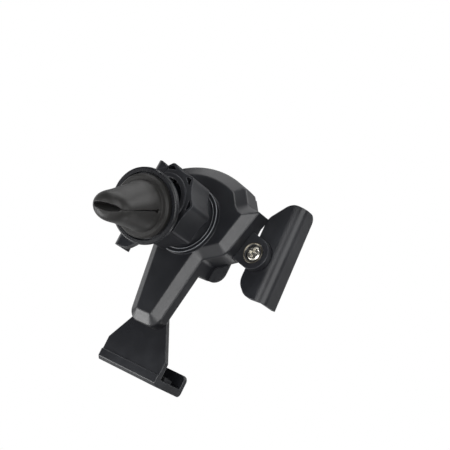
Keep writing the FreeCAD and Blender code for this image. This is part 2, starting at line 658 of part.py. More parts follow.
def build_foot():
    """Foot: sliding plate that widens to a heel, with a shelf and a hook for the handset's lower end."""
    foot = new_body("foot")
    plate = mirrored([("stem_half", "-stem_top"), ("stem_half", "-taper_high"), ("foot_half", "-taper_low"),
                      ("foot_half", "-foot_down")])
    raised(foot, "plate_front", PLATE_BACK, lambda s: outline(s, plate))
    heel = mirrored([("foot_half", "-foot_down + heel_tall"), ("foot_half", "-foot_down")])
    raised(foot, "plate_front", "heel_back", lambda s: outline(s, heel))
    shelf = mirrored([("foot_half", SHELF_TOP), ("foot_half", "-foot_down")])
    raised(foot, "-shelf_reach", "heel_back", lambda s: outline(s, shelf))
    hook = mirrored([("foot_half", "-foot_down + hook_tall"), ("foot_half", "-foot_down")])
    raised(foot, "-shelf_reach", "-shelf_reach + lip_thick", lambda s: outline(s, hook))
    for z in JOINING_SCREWS:
        sunk(foot, "plate_front", PLATE_BACK, lambda s: circle(s, "0", z, "small_shank + small_gap"))
        sunk(foot, "plate_front", "plate_front + small_head_tall + small_gap",
             lambda s: circle(s, "0", z, "small_head + small_gap"))
    low, toe, heel_end = value("-foot_down"), value("-shelf_reach"), value("heel_back")
    rounded(foot, "toe_round", lambda a, b: near((a.z, b.z), (a.y, b.y), (a.z, low), (a.y, toe)))
    rounded(foot, "heel_bevel", lambda a, b: near((a.z, b.z), (a.y, b.y), (a.z, low), (a.y, heel_end)),
            "Chamfer")
    tops = [(x, "-foot_down + hook_tall") for x in ("foot_half", "-foot_half")]
    rounded(foot, "lip_thick", lambda a, b: any(along_y(*t)(a, b) for t in tops))
    pad = new_body("foot_pad")
    block = mirrored([("foot_pad_half", SHELF_TOP + " + foot_pad_thick"), ("foot_pad_half", SHELF_TOP)])
    front = "-shelf_reach + lip_thick"
    raised(pad, front, front + " + foot_pad_deep", lambda s: outline(s, block))
    return foot, pad


def build_carriage():
    """Carriage: slotted plate behind the arms; its sloping slots drive the arm pins as the foot slides."""
    carriage = new_body("carriage")
    slot_half = "pin_radius + pin_gap"
    low = pin_in_carriage("1", "slide_up")
    right = [("carriage_top_half", "carriage_up"), ("carriage_half", low[1] + " + 1.3"),
             ("carriage_half", low[1] + " - 1.3"), ("carriage_half - 2.2", low[1] + " - 3.2"),
             ("carriage_top_half", low[1] + " - 3.2"), ("carriage_top_half", "-carriage_tail")]
    raised(carriage, CARRIAGE_FRONT, CARRIAGE_BACK, lambda s: outline(s, mirrored(right)))
    for name, side in SIDES:
        upper = pin_in_carriage(side, "-slide_down")
        lower = pin_in_carriage(side, "slide_up")
        run = "sqrt((arm_ratio * cos(arm_slope)) ^ 2 + (arm_ratio * sin(arm_slope) + 1) ^ 2)"
        across = ("%s * (%s) * (arm_ratio * sin(arm_slope) + 1) / %s" % (side, slot_half, run),
                  "(%s) * arm_ratio * cos(arm_slope) / %s" % (slot_half, run))
        corners = [("%s %s %s" % (end[0], sign, across[0]), "%s %s %s" % (end[1], sign, across[1]))
                   for end, sign in ((upper, "+"), (lower, "+"), (lower, "-"), (upper, "-"))]
        sunk(carriage, CARRIAGE_FRONT, CARRIAGE_BACK, lambda s: outline(s, corners))
        for end in (upper, lower):
            sunk(carriage, CARRIAGE_FRONT, CARRIAGE_BACK, lambda s: circle(s, end[0], end[1], slot_half))
    for z in JOINING_SCREWS:
        sunk(carriage, CARRIAGE_FRONT, CARRIAGE_BACK, lambda s: circle(s, "0", z, "small_shank"))
    screws = [small_screw("joining_screw_%d" % number, "0", z, "plate_front + small_gap",
                          "joining_long - small_head_tall") for number, z in enumerate(JOINING_SCREWS)]
    group = doc.addObject("Part::Compound", "carriage_screws")
    group.Links = screws
    node(group, "carriage_screws")
    return carriage


# arms and clamps

def build_arm(name, side):
    """Arm: flat bar that slides out of a shoulder, with a round lug for the clamp's screw and a drive pin."""
    arm = new_body(name + "_arm")
    bar = [arm_edge(side, "arm_inner", "arm_half"), arm_edge(side, "arm_inner", "-arm_half"),
           arm_end(side, "-arm_half"), arm_end(side, "arm_half")]
    pivot = ("%s * pivot_half" % side, "-pivot_down")
    raised(arm, ARM_FRONT, "arm_back", lambda s: outline(s, bar))
    raised(arm, ARM_FRONT, "arm_back", lambda s: circle(s, *pivot, "arm_half"))
    raised(arm, ARM_FRONT, "arm_back + rim_tall", lambda s: circle(s, *pivot, "rim_radius"))
    sunk(arm, ARM_FRONT, "arm_back", lambda s: circle(s, *pivot, "screw_body + screw_gap"))
    sunk(arm, "arm_back - screw_sink", "arm_back + rim_tall",
         lambda s: circle(s, *pivot, "screw_head + 0.25"))
    sunk(arm, ARM_FRONT, "arm_back", lambda s: circle(s, "%s * pin_half" % side, "pin_up", "pin_radius"))
    pin = new_body(name + "_arm_pin")
    raised(pin, ARM_FRONT + " + slide_gap", CARRIAGE_BACK + " - slide_gap",
           lambda s: circle(s, "%s * pin_half" % side, "pin_up", "pin_radius"))
    return arm


def clamp_place(side):
    """The place of a clamp, turned about its pivot."""
    return ("placement(vector(%s * pivot_half; 0; -pivot_down);"
            " rotation(vector(0; 1; 0); -(%s) * clamp_splay))" % (side, side))


def build_clamp(name, side):
    """Clamp: side wall along the handset's edge on a rounded back plate that turns on the arm's screw."""
    clamp = new_body(name + "_clamp", clamp_place(side))

    def out(formula):
        return "%s * (%s)" % (side, formula)

    plate = [(out("clamp_reach"), "clamp_top"), (out("clamp_cut_top"), "clamp_top"),
             (out("-clamp_inner"), "clamp_edge_top"), (out("-clamp_inner"), "-clamp_edge_low"),
             (out("clamp_cut_low"), "-clamp_bottom"), (out("clamp_reach"), "-clamp_bottom")]
    wall = [(out("clamp_reach"), "clamp_top"), (out("clamp_reach - clamp_wall"), "clamp_top"),
            (out("clamp_reach - clamp_wall"), "-clamp_bottom"), (out("clamp_reach"), "-clamp_bottom")]
    raised(clamp, "clamp_plate_front", "clamp_plate_back", lambda s: outline(s, plate))
    raised(clamp, "-clamp_front_low", "clamp_plate_back", lambda s: outline(s, wall))
    raised(clamp, "clamp_plate_front", ARM_FRONT + " - 0.1", lambda s: circle(s, "0", "0", "clamp_boss"))
    sunk(clamp, "clamp_plate_front", ARM_FRONT, lambda s: circle(s, "0", "0", "screw_thread"))
    corners = [(out("clamp_cut_top"), "clamp_top"), (out("-clamp_inner"), "clamp_edge_top"),
               (out("-clamp_inner"), "-clamp_edge_low"), (out("clamp_cut_low"), "-clamp_bottom")]
    rounded(clamp, "clamp_blend", lambda a, b: any(along_y(*c)(a, b) for c in corners))
    reach = value(out("clamp_reach"))
    back = value("clamp_plate_back")
    rounded(clamp, "clamp_round", lambda a, b: near((a.x, b.x), (a.y, b.y), (a.x, reach), (a.y, back)))
    slope = [("clamp_front_low", "-clamp_bottom"), ("clamp_front_low + 1", "-clamp_bottom"),
             ("clamp_front_low + 1", "clamp_top"), ("clamp_front_top", "clamp_top")]
    sketch = body_sketch(clamp, "YZ_Plane", "0")
    outline(sketch, [("-(%s)" % y, z) for y, z in slope])
    cut = clamp.newObject("PartDesign::Pocket", clamp.Name + "_front_edge")
    cut.Profile = sketch
    cut.Midplane = True
    bind(cut, Length="4 * clamp_reach")
    top, front = value("clamp_top"), value("-clamp_front_top")
    rounded(clamp, "clamp_nose", lambda a, b: near((a.y, b.y), (a.z, b.z), (a.z, top), (a.y, front)))
    pad = new_body(name + "_clamp_pad", clamp_place(side))
    face = [(out("clamp_reach - clamp_wall"), "clamp_top - 1.6 * clamp_pad_margin"),
            (out("clamp_reach - clamp_wall - clamp_pad_thick"), "clamp_top - 1.6 * clamp_pad_margin"),
            (out("clamp_reach - clamp_wall - clamp_pad_thick"), "-clamp_bottom + clamp_pad_margin"),
            (out("clamp_reach - clamp_wall"), "-clamp_bottom + clamp_pad_margin")]
    raised(pad, "-clamp_pad_front", "clamp_pad_back", lambda s: outline(s, face))
    return clamp


def build_clamp_screw(name, side):
    """Clamp screw: domed cross-recess head, plain shank that turns in the lug, thread held by the clamp."""
    x = "%s * pivot_half" % side
    place = "placement(vector(%s; 0; -pivot_down); rotation(vector(1; 0; 0); -90))" % x
    screw = new_body(name + "_clamp_screw", place)
    seat = "arm_back - screw_sink + 0.03"
    turned(screw, [("0", "clamp_plate_front + 0.1"), ("screw_thread", "clamp_plate_front + 0.1"),
                   ("screw_thread", ARM_FRONT + " - 0.07"), ("screw_body", ARM_FRONT + " - 0.07"),
                   ("screw_body", seat), ("screw_head", seat),
                   ("screw_head", seat + " + 0.6 * screw_head_tall"),
                   ("0.72 * screw_head", seat + " + screw_head_tall"), ("0", seat + " + screw_head_tall")])
    cross = [("0.16 * screw_head", "0.62 * screw_head"), ("0.16 * screw_head", "-0.62 * screw_head")]
    for turn in (False, True):
        bars = mirrored(cross)
        if turn:
            bars = [(z, x) for x, z in bars]
        sunk(screw, seat + " + 0.35 * screw_head_tall", seat + " + screw_head_tall + 0.1",
             lambda s: outline(s, bars), "XY_Plane")
    return screw


# ball joint

def build_ball_joint():
    """Ball stud in a slotted spherical liner, and the fluted lock nut that closes on it."""
    stud = new_body("ball_stud", CLIP_PLACE)
    turned(stud, [("0", "0"), ("stud_radius", "0"), ("stud_radius", "cup_start - 0.05"),
                  ("journal_radius", "cup_start - 0.05"), ("journal_radius", "cup_floor + 0.05"),
                  ("0", "cup_floor + 0.05")])
    ball_shape(stud, "Additive", "ball_radius")
    sunk(stud, "cup_floor - clip_screw_long", "cup_floor + 0.1",
         lambda s: circle(s, "0", "0", "clip_screw_shank"), "XY_Plane")
    place = ("placement(vector(0; ball_back; 0); rotation(vector(0; 0; 1); clip_pan)"
             " * rotation(vector(1; 0; 0); -90))")
    liner = new_body("socket_liner", place)
    ball_shape(liner, "Additive", LINER_OUTER)
    ball_shape(liner, "Subtractive", LINER_INNER)
    for low, high in (("liner_mouth", "ball_radius + 4"), ("-ball_radius - 4", "-liner_front")):
        sunk(liner, low, high, lambda s: circle(s, "0", "0", "2 * ball_radius"), "XY_Plane")
    slot = mirrored([("tube_slot / 2", "2 * ball_radius"), ("tube_slot / 2", "0")])
    slits = sunk(liner, "-1", "liner_mouth + 1", lambda s: outline(s, slot), "XY_Plane")
    doc.recompute()
    ring = liner.newObject("PartDesign::PolarPattern", "liner_slits")
    ring.Originals = [slits]
    ring.Axis = (origin_axis(liner, "Z_Axis"), [""])
    ring.Angle = 360
    ring.Occurrences = 6
    liner.Tip = ring
    return stud, liner


def origin_axis(body, role):
    """One of a body's own origin axes."""
    return next(f for f in body.Origin.OriginFeatures if f.Role == role)


def build_nut():
    """Lock nut: bored for the socket tube, with a skirt, flutes and open pockets behind its ridges."""
    nut = new_body("lock_nut", "placement(vector(0; 0; 0); rotation(vector(1; 0; 0); -90)"
                               " * rotation(vector(0; 0; 1); -flute_turn))")
    step = TUBE_END + " + 0.2"
    turned(nut, [(NUT_BORE, "skirt_front"), (NUT_BORE + " + skirt_wall", "skirt_front"),
                 (NUT_BORE + " + skirt_wall", "nut_front"), (NUT_BORE + " + nut_ridge", "nut_front"),
                 (NUT_BORE + " + nut_ridge", "nut_back"), (NUT_BORE + " + face_ring", "nut_back"),
                 (NUT_BORE + " + face_ring", "nut_back + face_step"),
                 (NUT_BORE + " - nut_mouth", "nut_back + face_step"), (NUT_BORE + " - nut_mouth", step),
                 (NUT_BORE, step)])
    seat = nut.newObject("PartDesign::SubtractiveSphere", "nut_seat")
    seat.AttachmentSupport = (origin_plane(nut, "XY_Plane"), [""])
    seat.MapMode = "FlatFace"
    bind(seat, Radius=SEAT_RADIUS, AttachmentOffset__Base__z="ball_back")
    flute = sunk(nut, "nut_front", "nut_back",
                 lambda s: circle(s, "(%s + nut_wall + flute_radius) * cos(180 / flute_count)" % NUT_BORE,
                                  "(%s + nut_wall + flute_radius) * sin(180 / flute_count)" % NUT_BORE,
                                  "flute_radius"), "XY_Plane")
    doc.recompute()
    low, high = NUT_BORE + " + pocket_in", NUT_BORE + " + pocket_out"
    corners = [(low, "pocket_half"), (low, "-pocket_half"), (high, "-0.12 * pocket_half"),
               (high, "0.12 * pocket_half")]
    pocket = sunk(nut, "nut_back - pocket_deep", "nut_back + 0.1", lambda s: outline(s, corners), "XY_Plane")
    doc.recompute()
    ring = nut.newObject("PartDesign::PolarPattern", "nut_ridges")
    ring.Originals = [flute, pocket]
    ring.Axis = (origin_axis(nut, "Z_Axis"), [""])
    ring.Angle = 360
    bind(ring, Occurrences="flute_count")
    nut.Tip = ring
    return nut


# clip

def build_cup():
    """Cup on the stud's journal, its rim ring, and the washer and screw that keep the cup on."""
    cup = new_body("clip_cup", CLIP_PLACE)
    turned(cup, [("journal_radius + journal_gap", "cup_start"), ("cup_base", "cup_start"),
                 ("cup_radius - 0.4", "cup_floor"), ("cup_radius + cup_band", "cup_floor"),
                 ("cup_radius + cup_band", "cup_floor + 0.65"), ("cup_radius", "cup_floor + 0.65"),
                 ("cup_radius", "cup_end"), ("cup_bore", "cup_end"), ("cup_bore", "cup_floor"),
                 ("journal_radius + journal_gap", "cup_floor")])
    ring = new_body("clip_ring", CLIP_PLACE)
    turned(ring, [("cup_radius + 0.02", "ring_start"), ("ring_radius", "ring_start"),
                  ("ring_radius", "ring_end - 0.3"), ("ring_radius - 0.3", "ring_end"),
                  ("cup_bore - 0.1", "ring_end"), ("cup_bore - 0.1", "cup_end + 0.02"),
                  ("cup_radius + 0.02", "cup_end + 0.02")])
    washer = new_body("clip_washer", CLIP_PLACE)
    face = "cup_floor + 0.05"
    turned(washer, [("clip_screw_shank + 0.1", face), ("washer_radius", face),
                    ("washer_radius", face + " + washer_thick"),
                    ("clip_screw_shank + 0.1", face + " + washer_thick")])
    screw = new_body("clip_screw", CLIP_PLACE)
    under = face + " + washer_thick"
    turned(screw, [("0", "cup_floor - clip_screw_long + 0.2"),
                   ("clip_screw_shank", "cup_floor - clip_screw_long + 0.2"), ("clip_screw_shank", under),
                   ("clip_screw_head", under), ("clip_screw_head", under + " + 0.6 * clip_screw_tall"),
                   ("0.6 * clip_screw_head", under + " + clip_screw_tall"),
                   ("0", under + " + clip_screw_tall")])
    return cup, ring


def clip_box(name, half_x, low_y, high_y, low_z, high_z):
    """A box in the clip's own frame, centred in X."""
    place = (CLIP_PLACE + " * placement(vector(-(%s); %s; %s); rotation(vector(0; 0; 1); 0))"
             % (half_x, low_y, low_z))
    return primitive("Box", name, place, Length="2 * (%s)" % half_x, Width="(%s) - (%s)" % (high_y, low_y),
                     Height="(%s) - (%s)" % (high_z, low_z))


def clip_rod(name, radius, low_z, high_z):
    """A round rod on the clip's axis."""
    place = CLIP_PLACE + " * placement(vector(0; 0; %s); rotation(vector(0; 0; 1); 0))" % low_z
    return primitive("Cylinder", name, place, Radius=radius, Height="(%s) - (%s)" % (high_z, low_z))


def core_pieces(prefix, gap):
    """Boss and prongs of the nose core, grown by a gap; the rubber's cavity is the same with its own gap."""
    boss = clip_rod(prefix + "_boss", "core_boss + %s" % gap, "cup_floor + core_flange",
                    "core_boss_end + %s" % gap)
    prongs = [clip_box("%s_prong_%s" % (prefix, name), "prong_half + %s" % gap, low, high,
                       "core_boss_end - 1", "prong_end + %s" % gap)
              for name, low, high in (("low", "prong_low - %s" % gap, "prong_high + %s" % gap),
                                      ("high", "-prong_high - %s" % gap, "-prong_low + %s" % gap))]
    return [boss] + prongs


NOSE_SECTIONS = (
    # place from root to tip, half the width in the slit's plane and half the height across it,
    # as shares of the nose's length and of its root radius
    (0.00, 1.00, 1.00),
    (0.12, 0.93, 0.93),
    (0.30, 0.87, 0.83),
    (0.50, 0.835, 0.735),
    (0.70, 0.825, 0.63),
    (0.86, 0.78, 0.565),
    (0.95, 0.61, 0.48),
    (1.00, 0.30, 0.26),
)


def build_nose():
    """Rubber nose with a slit and an open mouth that grip a vent blade, over a stiff two-pronged core."""
    flange = clip_rod("core_flange_disc", "cup_bore - core_gap - 0.1", "cup_floor + 0.1",
                      "cup_floor + core_flange")
    hollow = clip_rod("core_hollow_rod", "core_hollow", "cup_floor", "core_boss_end - 2.4")
    core = joined("fuse", "core_solid", [flange] + core_pieces("core", "0"))
    node(joined("cut", "nose_core", [core, hollow]), "nose_core")
    sections = []
    root = "(nose_flange_end - flange_bevel / 2)"
    for number, (place, wide, tall) in enumerate(NOSE_SECTIONS):
        ring = doc.addObject("Part::Ellipse", "nose_section_%d" % number)
        spot = (" * placement(vector(0; 0; %s + %s * (nose_end - %s)); rotation(vector(0; 0; 1); 0))"
                % (root, place, root))
        bind(ring, MajorRadius="%s * nose_root" % wide, MinorRadius="%s * nose_root" % tall,
             Placement=CLIP_PLACE + spot)
        sections.append(ring)
    bill = doc.addObject("Part::Loft", "nose_bill")
    bill.Sections = sections
    bill.Solid = True
    bill.Ruled = False
    flange = clip_rod("nose_flange_disc", "nose_flange", "cup_floor + core_flange + 0.02", "nose_flange_end")
    bevel = primitive("Cone", "nose_flange_bevel", CLIP_PLACE
                      + " * placement(vector(0; 0; nose_flange_end); rotation(vector(0; 0; 1); 0))",
                      Radius1="nose_flange", Radius2="nose_flange - flange_bevel", Height="flange_bevel")
    outside = joined("fuse", "nose_outside", [bill, flange, bevel])
    slit = clip_box("nose_slit", "2 * nose_flange", "-slit_half", "slit_half", "slit_start", "nose_end + 1")
    keyhole = primitive("Cylinder", "nose_keyhole", CLIP_PLACE
                        + " * placement(vector(-2 * nose_flange; 0; slit_start);"
                         + " rotation(vector(0; 1; 0); 90))",
                        Radius="keyhole", Height="4 * nose_flange")
    mouth = primitive("Ellipsoid", "nose_mouth", CLIP_PLACE
                      + " * placement(vector(0; 0; nose_end + 0.5); rotation(vector(0; 0; 1); 0))",
                      Radius1="mouth_long", Radius2="mouth_wide", Radius3="mouth_tall")
    cuts = [slit, keyhole, mouth] + core_pieces("bore", "0.02")
    return node(joined("cut", "rubber_nose", [outside] + cuts), "rubber_nose")


build_housing()
build_cover()
build_cover_screws()
build_foot()
build_carriage()
for side_name, side_sign in SIDES:
    build_arm(side_name, side_sign)
    build_clamp(side_name, side_sign)
    build_clamp_screw(side_name, side_sign)
build_ball_joint()
build_nut()
build_cup()
build_nose()
doc.recompute()

faults = [thing.Label for thing in doc.Objects if {"Invalid", "Error"} & set(thing.State)]
faults += [thing.Label for thing in nodes if thing.Shape.isNull() or not thing.Shape.isValid()]
if faults:
    raise SystemExit("not built: " + ", ".join(faults))
os.makedirs("parts", exist_ok=True)
for thing in nodes:
    thing.Shape.exportStep("parts/%s.step" % thing.Label)
    box = thing.Shape.BoundBox
    print("%-18s %d solid, %8.1f mm3, X %.1f..%.1f Y %.1f..%.1f Z %.1f..%.1f" % (
        thing.Label, len(thing.Shape.Solids), thing.Shape.Volume, box.XMin, box.XMax, box.YMin, box.YMax,
        box.ZMin, box.ZMax))
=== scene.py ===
"""Studio picture of a gravity-closing holder for a car's air vent.

The pieces of the holder are given. Here their sharp edges are softened, they get their moulded,
rubber and plated finishes, and the small repeated grips are laid on the pads. Lengths are in metres.
"""

import json
import logging
from collections.abc import Callable
from dataclasses import dataclass, field
from enum import Enum
from math import cos, pi, radians, sin

import bmesh
import bpy
from mathutils import Matrix, Vector

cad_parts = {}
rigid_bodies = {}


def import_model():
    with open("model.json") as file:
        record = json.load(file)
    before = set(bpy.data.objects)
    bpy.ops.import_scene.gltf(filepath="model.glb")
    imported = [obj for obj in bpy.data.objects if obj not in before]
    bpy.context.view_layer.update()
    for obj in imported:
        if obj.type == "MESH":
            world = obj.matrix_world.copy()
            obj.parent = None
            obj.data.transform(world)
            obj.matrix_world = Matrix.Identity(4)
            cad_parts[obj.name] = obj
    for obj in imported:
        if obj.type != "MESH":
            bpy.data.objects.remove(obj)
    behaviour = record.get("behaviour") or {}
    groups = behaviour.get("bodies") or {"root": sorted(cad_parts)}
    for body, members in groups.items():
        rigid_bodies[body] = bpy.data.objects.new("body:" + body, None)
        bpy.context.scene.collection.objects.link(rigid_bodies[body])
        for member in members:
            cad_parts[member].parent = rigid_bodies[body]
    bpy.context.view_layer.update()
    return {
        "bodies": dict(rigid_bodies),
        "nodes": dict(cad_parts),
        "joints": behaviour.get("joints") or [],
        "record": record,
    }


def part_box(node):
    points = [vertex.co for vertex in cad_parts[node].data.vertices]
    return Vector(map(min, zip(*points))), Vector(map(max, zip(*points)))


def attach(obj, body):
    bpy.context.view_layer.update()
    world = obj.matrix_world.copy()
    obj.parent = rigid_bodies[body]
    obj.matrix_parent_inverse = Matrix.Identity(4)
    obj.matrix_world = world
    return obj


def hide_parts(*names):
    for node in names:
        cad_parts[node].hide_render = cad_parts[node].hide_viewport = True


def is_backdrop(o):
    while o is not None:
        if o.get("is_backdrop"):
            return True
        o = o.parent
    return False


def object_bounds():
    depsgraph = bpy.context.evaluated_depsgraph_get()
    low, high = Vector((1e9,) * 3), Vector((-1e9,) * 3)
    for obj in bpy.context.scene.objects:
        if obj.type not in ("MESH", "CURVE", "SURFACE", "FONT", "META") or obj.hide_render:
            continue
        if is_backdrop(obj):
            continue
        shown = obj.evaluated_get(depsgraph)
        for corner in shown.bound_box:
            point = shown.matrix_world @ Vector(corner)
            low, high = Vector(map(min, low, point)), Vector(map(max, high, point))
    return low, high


LOG = logging.getLogger("vent_holder")
MM = 0.001
NEAR = 0.1 * MM
CLOUD_SPAN = (0.3, 0.7)
PIT_SPAN = (0.35, 0.65)
BEVEL_SAMPLES = 6


def linear(hex_colour: str) -> tuple[float, float, float, float]:
    """Turns an sRGB hex colour into linear values.

    Args:
        hex_colour: six hex digits, such as "2e3033".

    Returns:
        Linear red, green and blue, and an alpha of 1.
    """
    parts = [int(hex_colour[i:i + 2], 16) / 255 for i in (0, 2, 4)]
    low, knee = 12.92, 0.04045
    return tuple(c / low if c <= knee else ((c + 0.055) / 1.055) ** 2.4 for c in parts) + (1.0,)


def add_node(tree: bpy.types.NodeTree, kind: str, links: dict | None = None,
             **settings: object) -> bpy.types.Node:
    """Adds a node with its settings and links.

    Args:
        tree: the node tree to add to.
        kind: the node's type name.
        links: input name or index to a source socket, or to a plain value.
        settings: properties of the node.

    Returns:
        The new node.
    """
    node = tree.nodes.new(kind)
    for name, setting in settings.items():
        setattr(node, name, setting)
    for key, source in (links or {}).items():
        if isinstance(source, bpy.types.NodeSocket):
            tree.links.new(source, node.inputs[key])
        else:
            node.inputs[key].default_value = source
    return node


def new_finish(name: str) -> tuple[bpy.types.Material, bpy.types.NodeTree]:
    """Starts a node material.

    Args:
        name: the material's name.

    Returns:
        The material and its empty node tree.
    """
    mat = bpy.data.materials.new(name)
    mat.use_nodes = True
    mat.node_tree.nodes.clear()
    return mat, mat.node_tree


class Grain(Enum):
    """How coarse the texture of a moulded surface is, as its spacing in mm.

    The real grain is about 0.1 mm, too fine to show, so it is drawn several times as coarse.
    """

    POLISHED = 0.9
    SATIN = 0.5
    SPARKED = 0.45


@dataclass(frozen=True)
class MouldedPlastic:
    """Black injection-moulded plastic: grain, cloudy gloss, and shinier edges that get a painted highlight.
    """

    name: str
    colour: str
    mottle_and_sheen: str
    grain: Grain
    roughness: float
    depth_mm: float = 0.014
    specular: float = 0.5
    sparkle: float = 0.02
    burnish: float = 0.16
    edge_mm: float = 0.3
    edge_turn: tuple[float, float] = (1.0, 0.88)
    edge_sheen: float = 0.55
    cloud_mm: float = 14.0
    cloud_wear: tuple[float, float] = (-0.05, 0.08)
    cloud_matt: tuple[float, float] = (-0.04, 0.05)
    ior: float = 1.53

    def material(self) -> bpy.types.Material:
        """Builds the node material."""
        mat, tree = new_finish(self.name)
        place = add_node(tree, "ShaderNodeTexCoord").outputs["Object"]
        pits = add_node(tree, "ShaderNodeTexNoise", {
            "Vector": place, "Scale": 1 / (self.grain.value * MM),
            "Detail": 3.0, "Roughness": 0.55}).outputs["Fac"]
        clouds = add_node(tree, "ShaderNodeTexNoise", {
            "Vector": place, "Scale": 1 / (self.cloud_mm * MM), "Detail": 4.0}).outputs["Fac"]
        rounded = add_node(tree, "ShaderNodeBevel", {"Radius": self.edge_mm * MM},
                           samples=BEVEL_SAMPLES).outputs[0]
        facing = add_node(tree, "ShaderNodeNewGeometry").outputs["Normal"]
        turn = add_node(tree, "ShaderNodeVectorMath", {0: rounded, 1: facing}, operation="DOT_PRODUCT")
        edge = add_node(tree, "ShaderNodeMapRange", {
            "Value": turn.outputs["Value"], "From Min": self.edge_turn[0], "From Max": self.edge_turn[1],
            "To Min": 0.0, "To Max": 1.0}).outputs[0]
        tone = add_node(tree, "ShaderNodeMapRange", {
            "Value": clouds, "From Min": CLOUD_SPAN[0], "From Max": CLOUD_SPAN[1],
            "To Min": self.cloud_wear[0], "To Max": self.cloud_wear[1]}).outputs[0]
        # Painted highlight: the rounded edges are lightened towards the second colour, with a faint random
        # mottle.
        mottle_and_sheen_share = add_node(tree, "ShaderNodeMath", {0: edge, 1: self.edge_sheen, 2: tone},
                        operation="MULTIPLY_ADD", use_clamp=True)
        colour = add_node(tree, "ShaderNodeMix", {"Factor": mottle_and_sheen_share.outputs[0], "A": linear(self.colour),
                                                  "B": linear(self.mottle_and_sheen)}, data_type="RGBA")
        matt = add_node(tree, "ShaderNodeMapRange", {
            "Value": clouds, "From Min": CLOUD_SPAN[0], "From Max": CLOUD_SPAN[1],
            "To Min": self.roughness + self.cloud_matt[0],
            "To Max": self.roughness + self.cloud_matt[1]}).outputs[0]
        glint = add_node(tree, "ShaderNodeMapRange", {
            "Value": pits, "From Min": PIT_SPAN[0], "From Max": PIT_SPAN[1],
            "To Min": -self.sparkle, "To Max": self.sparkle}).outputs[0]
        skin = add_node(tree, "ShaderNodeMath", {0: matt, 1: glint}, operation="ADD")
        gloss = add_node(tree, "ShaderNodeMath", {0: edge, 1: -self.burnish, 2: skin.outputs[0]},
                         operation="MULTIPLY_ADD")
        bump = add_node(tree, "ShaderNodeBump", {"Strength": 0.6, "Distance": self.depth_mm * MM,
                                                 "Height": pits, "Normal": rounded})
        shader = add_node(tree, "ShaderNodeBsdfPrincipled", {
            "Base Color": colour.outputs["Result"], "Roughness": gloss.outputs[0], "IOR": self.ior,
            "Specular IOR Level": self.specular, "Normal": bump.outputs[0]})
        add_node(tree, "ShaderNodeOutputMaterial", {"Surface": shader.outputs[0]})
        return mat


@dataclass(frozen=True)
class MouldedRubber:
    """Soft moulded rubber: dull, a little warm, with a skin that is finely uneven."""

    name: str
    colour: str
    bloom: str
    roughness: float
    skin_mm: float = 0.7
    depth_mm: float = 0.02
    edge_mm: float = 0.35
    cloud_mm: float = 9.0
    cloud_bloom: tuple[float, float] = (0.0, 0.5)
    specular: float = 0.32
    sheen: float = 0.05
    ior: float = 1.52

    def material(self) -> bpy.types.Material:
        """Builds the node material."""
        mat, tree = new_finish(self.name)
        place = add_node(tree, "ShaderNodeTexCoord").outputs["Object"]
        skin = add_node(tree, "ShaderNodeTexNoise", {
            "Vector": place, "Scale": 1 / (self.skin_mm * MM),
            "Detail": 5.0, "Roughness": 0.6}).outputs["Fac"]
        clouds = add_node(tree, "ShaderNodeTexNoise", {
            "Vector": place, "Scale": 1 / (self.cloud_mm * MM), "Detail": 3.0}).outputs["Fac"]
        tone = add_node(tree, "ShaderNodeMapRange", {
            "Value": clouds, "From Min": CLOUD_SPAN[0], "From Max": CLOUD_SPAN[1],
            "To Min": self.cloud_bloom[0], "To Max": self.cloud_bloom[1]}).outputs[0]
        rounded = add_node(tree, "ShaderNodeBevel", {"Radius": self.edge_mm * MM}, samples=BEVEL_SAMPLES)
        colour = add_node(tree, "ShaderNodeMix", {"Factor": tone, "A": linear(self.colour),
                                                  "B": linear(self.bloom)}, data_type="RGBA")
        bump = add_node(tree, "ShaderNodeBump", {"Strength": 0.5, "Distance": self.depth_mm * MM,
                                                 "Height": skin, "Normal": rounded.outputs[0]})
        shader = add_node(tree, "ShaderNodeBsdfPrincipled", {
            "Base Color": colour.outputs["Result"], "Roughness": self.roughness, "IOR": self.ior,
            "Specular IOR Level": self.specular, "Sheen Weight": self.sheen, "Sheen Roughness": 0.5,
            "Normal": bump.outputs[0]})
        add_node(tree, "ShaderNodeOutputMaterial", {"Surface": shader.outputs[0]})
        return mat


@dataclass(frozen=True)
class PlatedSteel:
    """Plated steel, a little uneven from the barrel it was plated in."""

    name: str
    colour: str
    shade: str
    roughness: float
    dent_mm: float = 0.8
    depth_mm: float = 0.02
    edge_mm: float = 0.15

    def material(self) -> bpy.types.Material:
        """Builds the node material."""
        mat, tree = new_finish(self.name)
        place = add_node(tree, "ShaderNodeTexCoord").outputs["Object"]
        dents = add_node(tree, "ShaderNodeTexNoise", {
            "Vector": place, "Scale": 1 / (self.dent_mm * MM), "Detail": 3.0}).outputs["Fac"]
        colour = add_node(tree, "ShaderNodeMix", {"Factor": dents, "A": linear(self.colour),
                                                  "B": linear(self.shade)}, data_type="RGBA")
        rounded = add_node(tree, "ShaderNodeBevel", {"Radius": self.edge_mm * MM}, samples=BEVEL_SAMPLES)
        bump = add_node(tree, "ShaderNodeBump", {"Strength": 0.5, "Distance": self.depth_mm * MM,
                                                 "Height": dents, "Normal": rounded.outputs[0]})
        shader = add_node(tree, "ShaderNodeBsdfPrincipled", {
            "Base Color": colour.outputs["Result"], "Roughness": self.roughness, "Metallic": 1.0,
            "Normal": bump.outputs[0]})
        add_node(tree, "ShaderNodeOutputMaterial", {"Surface": shader.outputs[0]})
        return mat


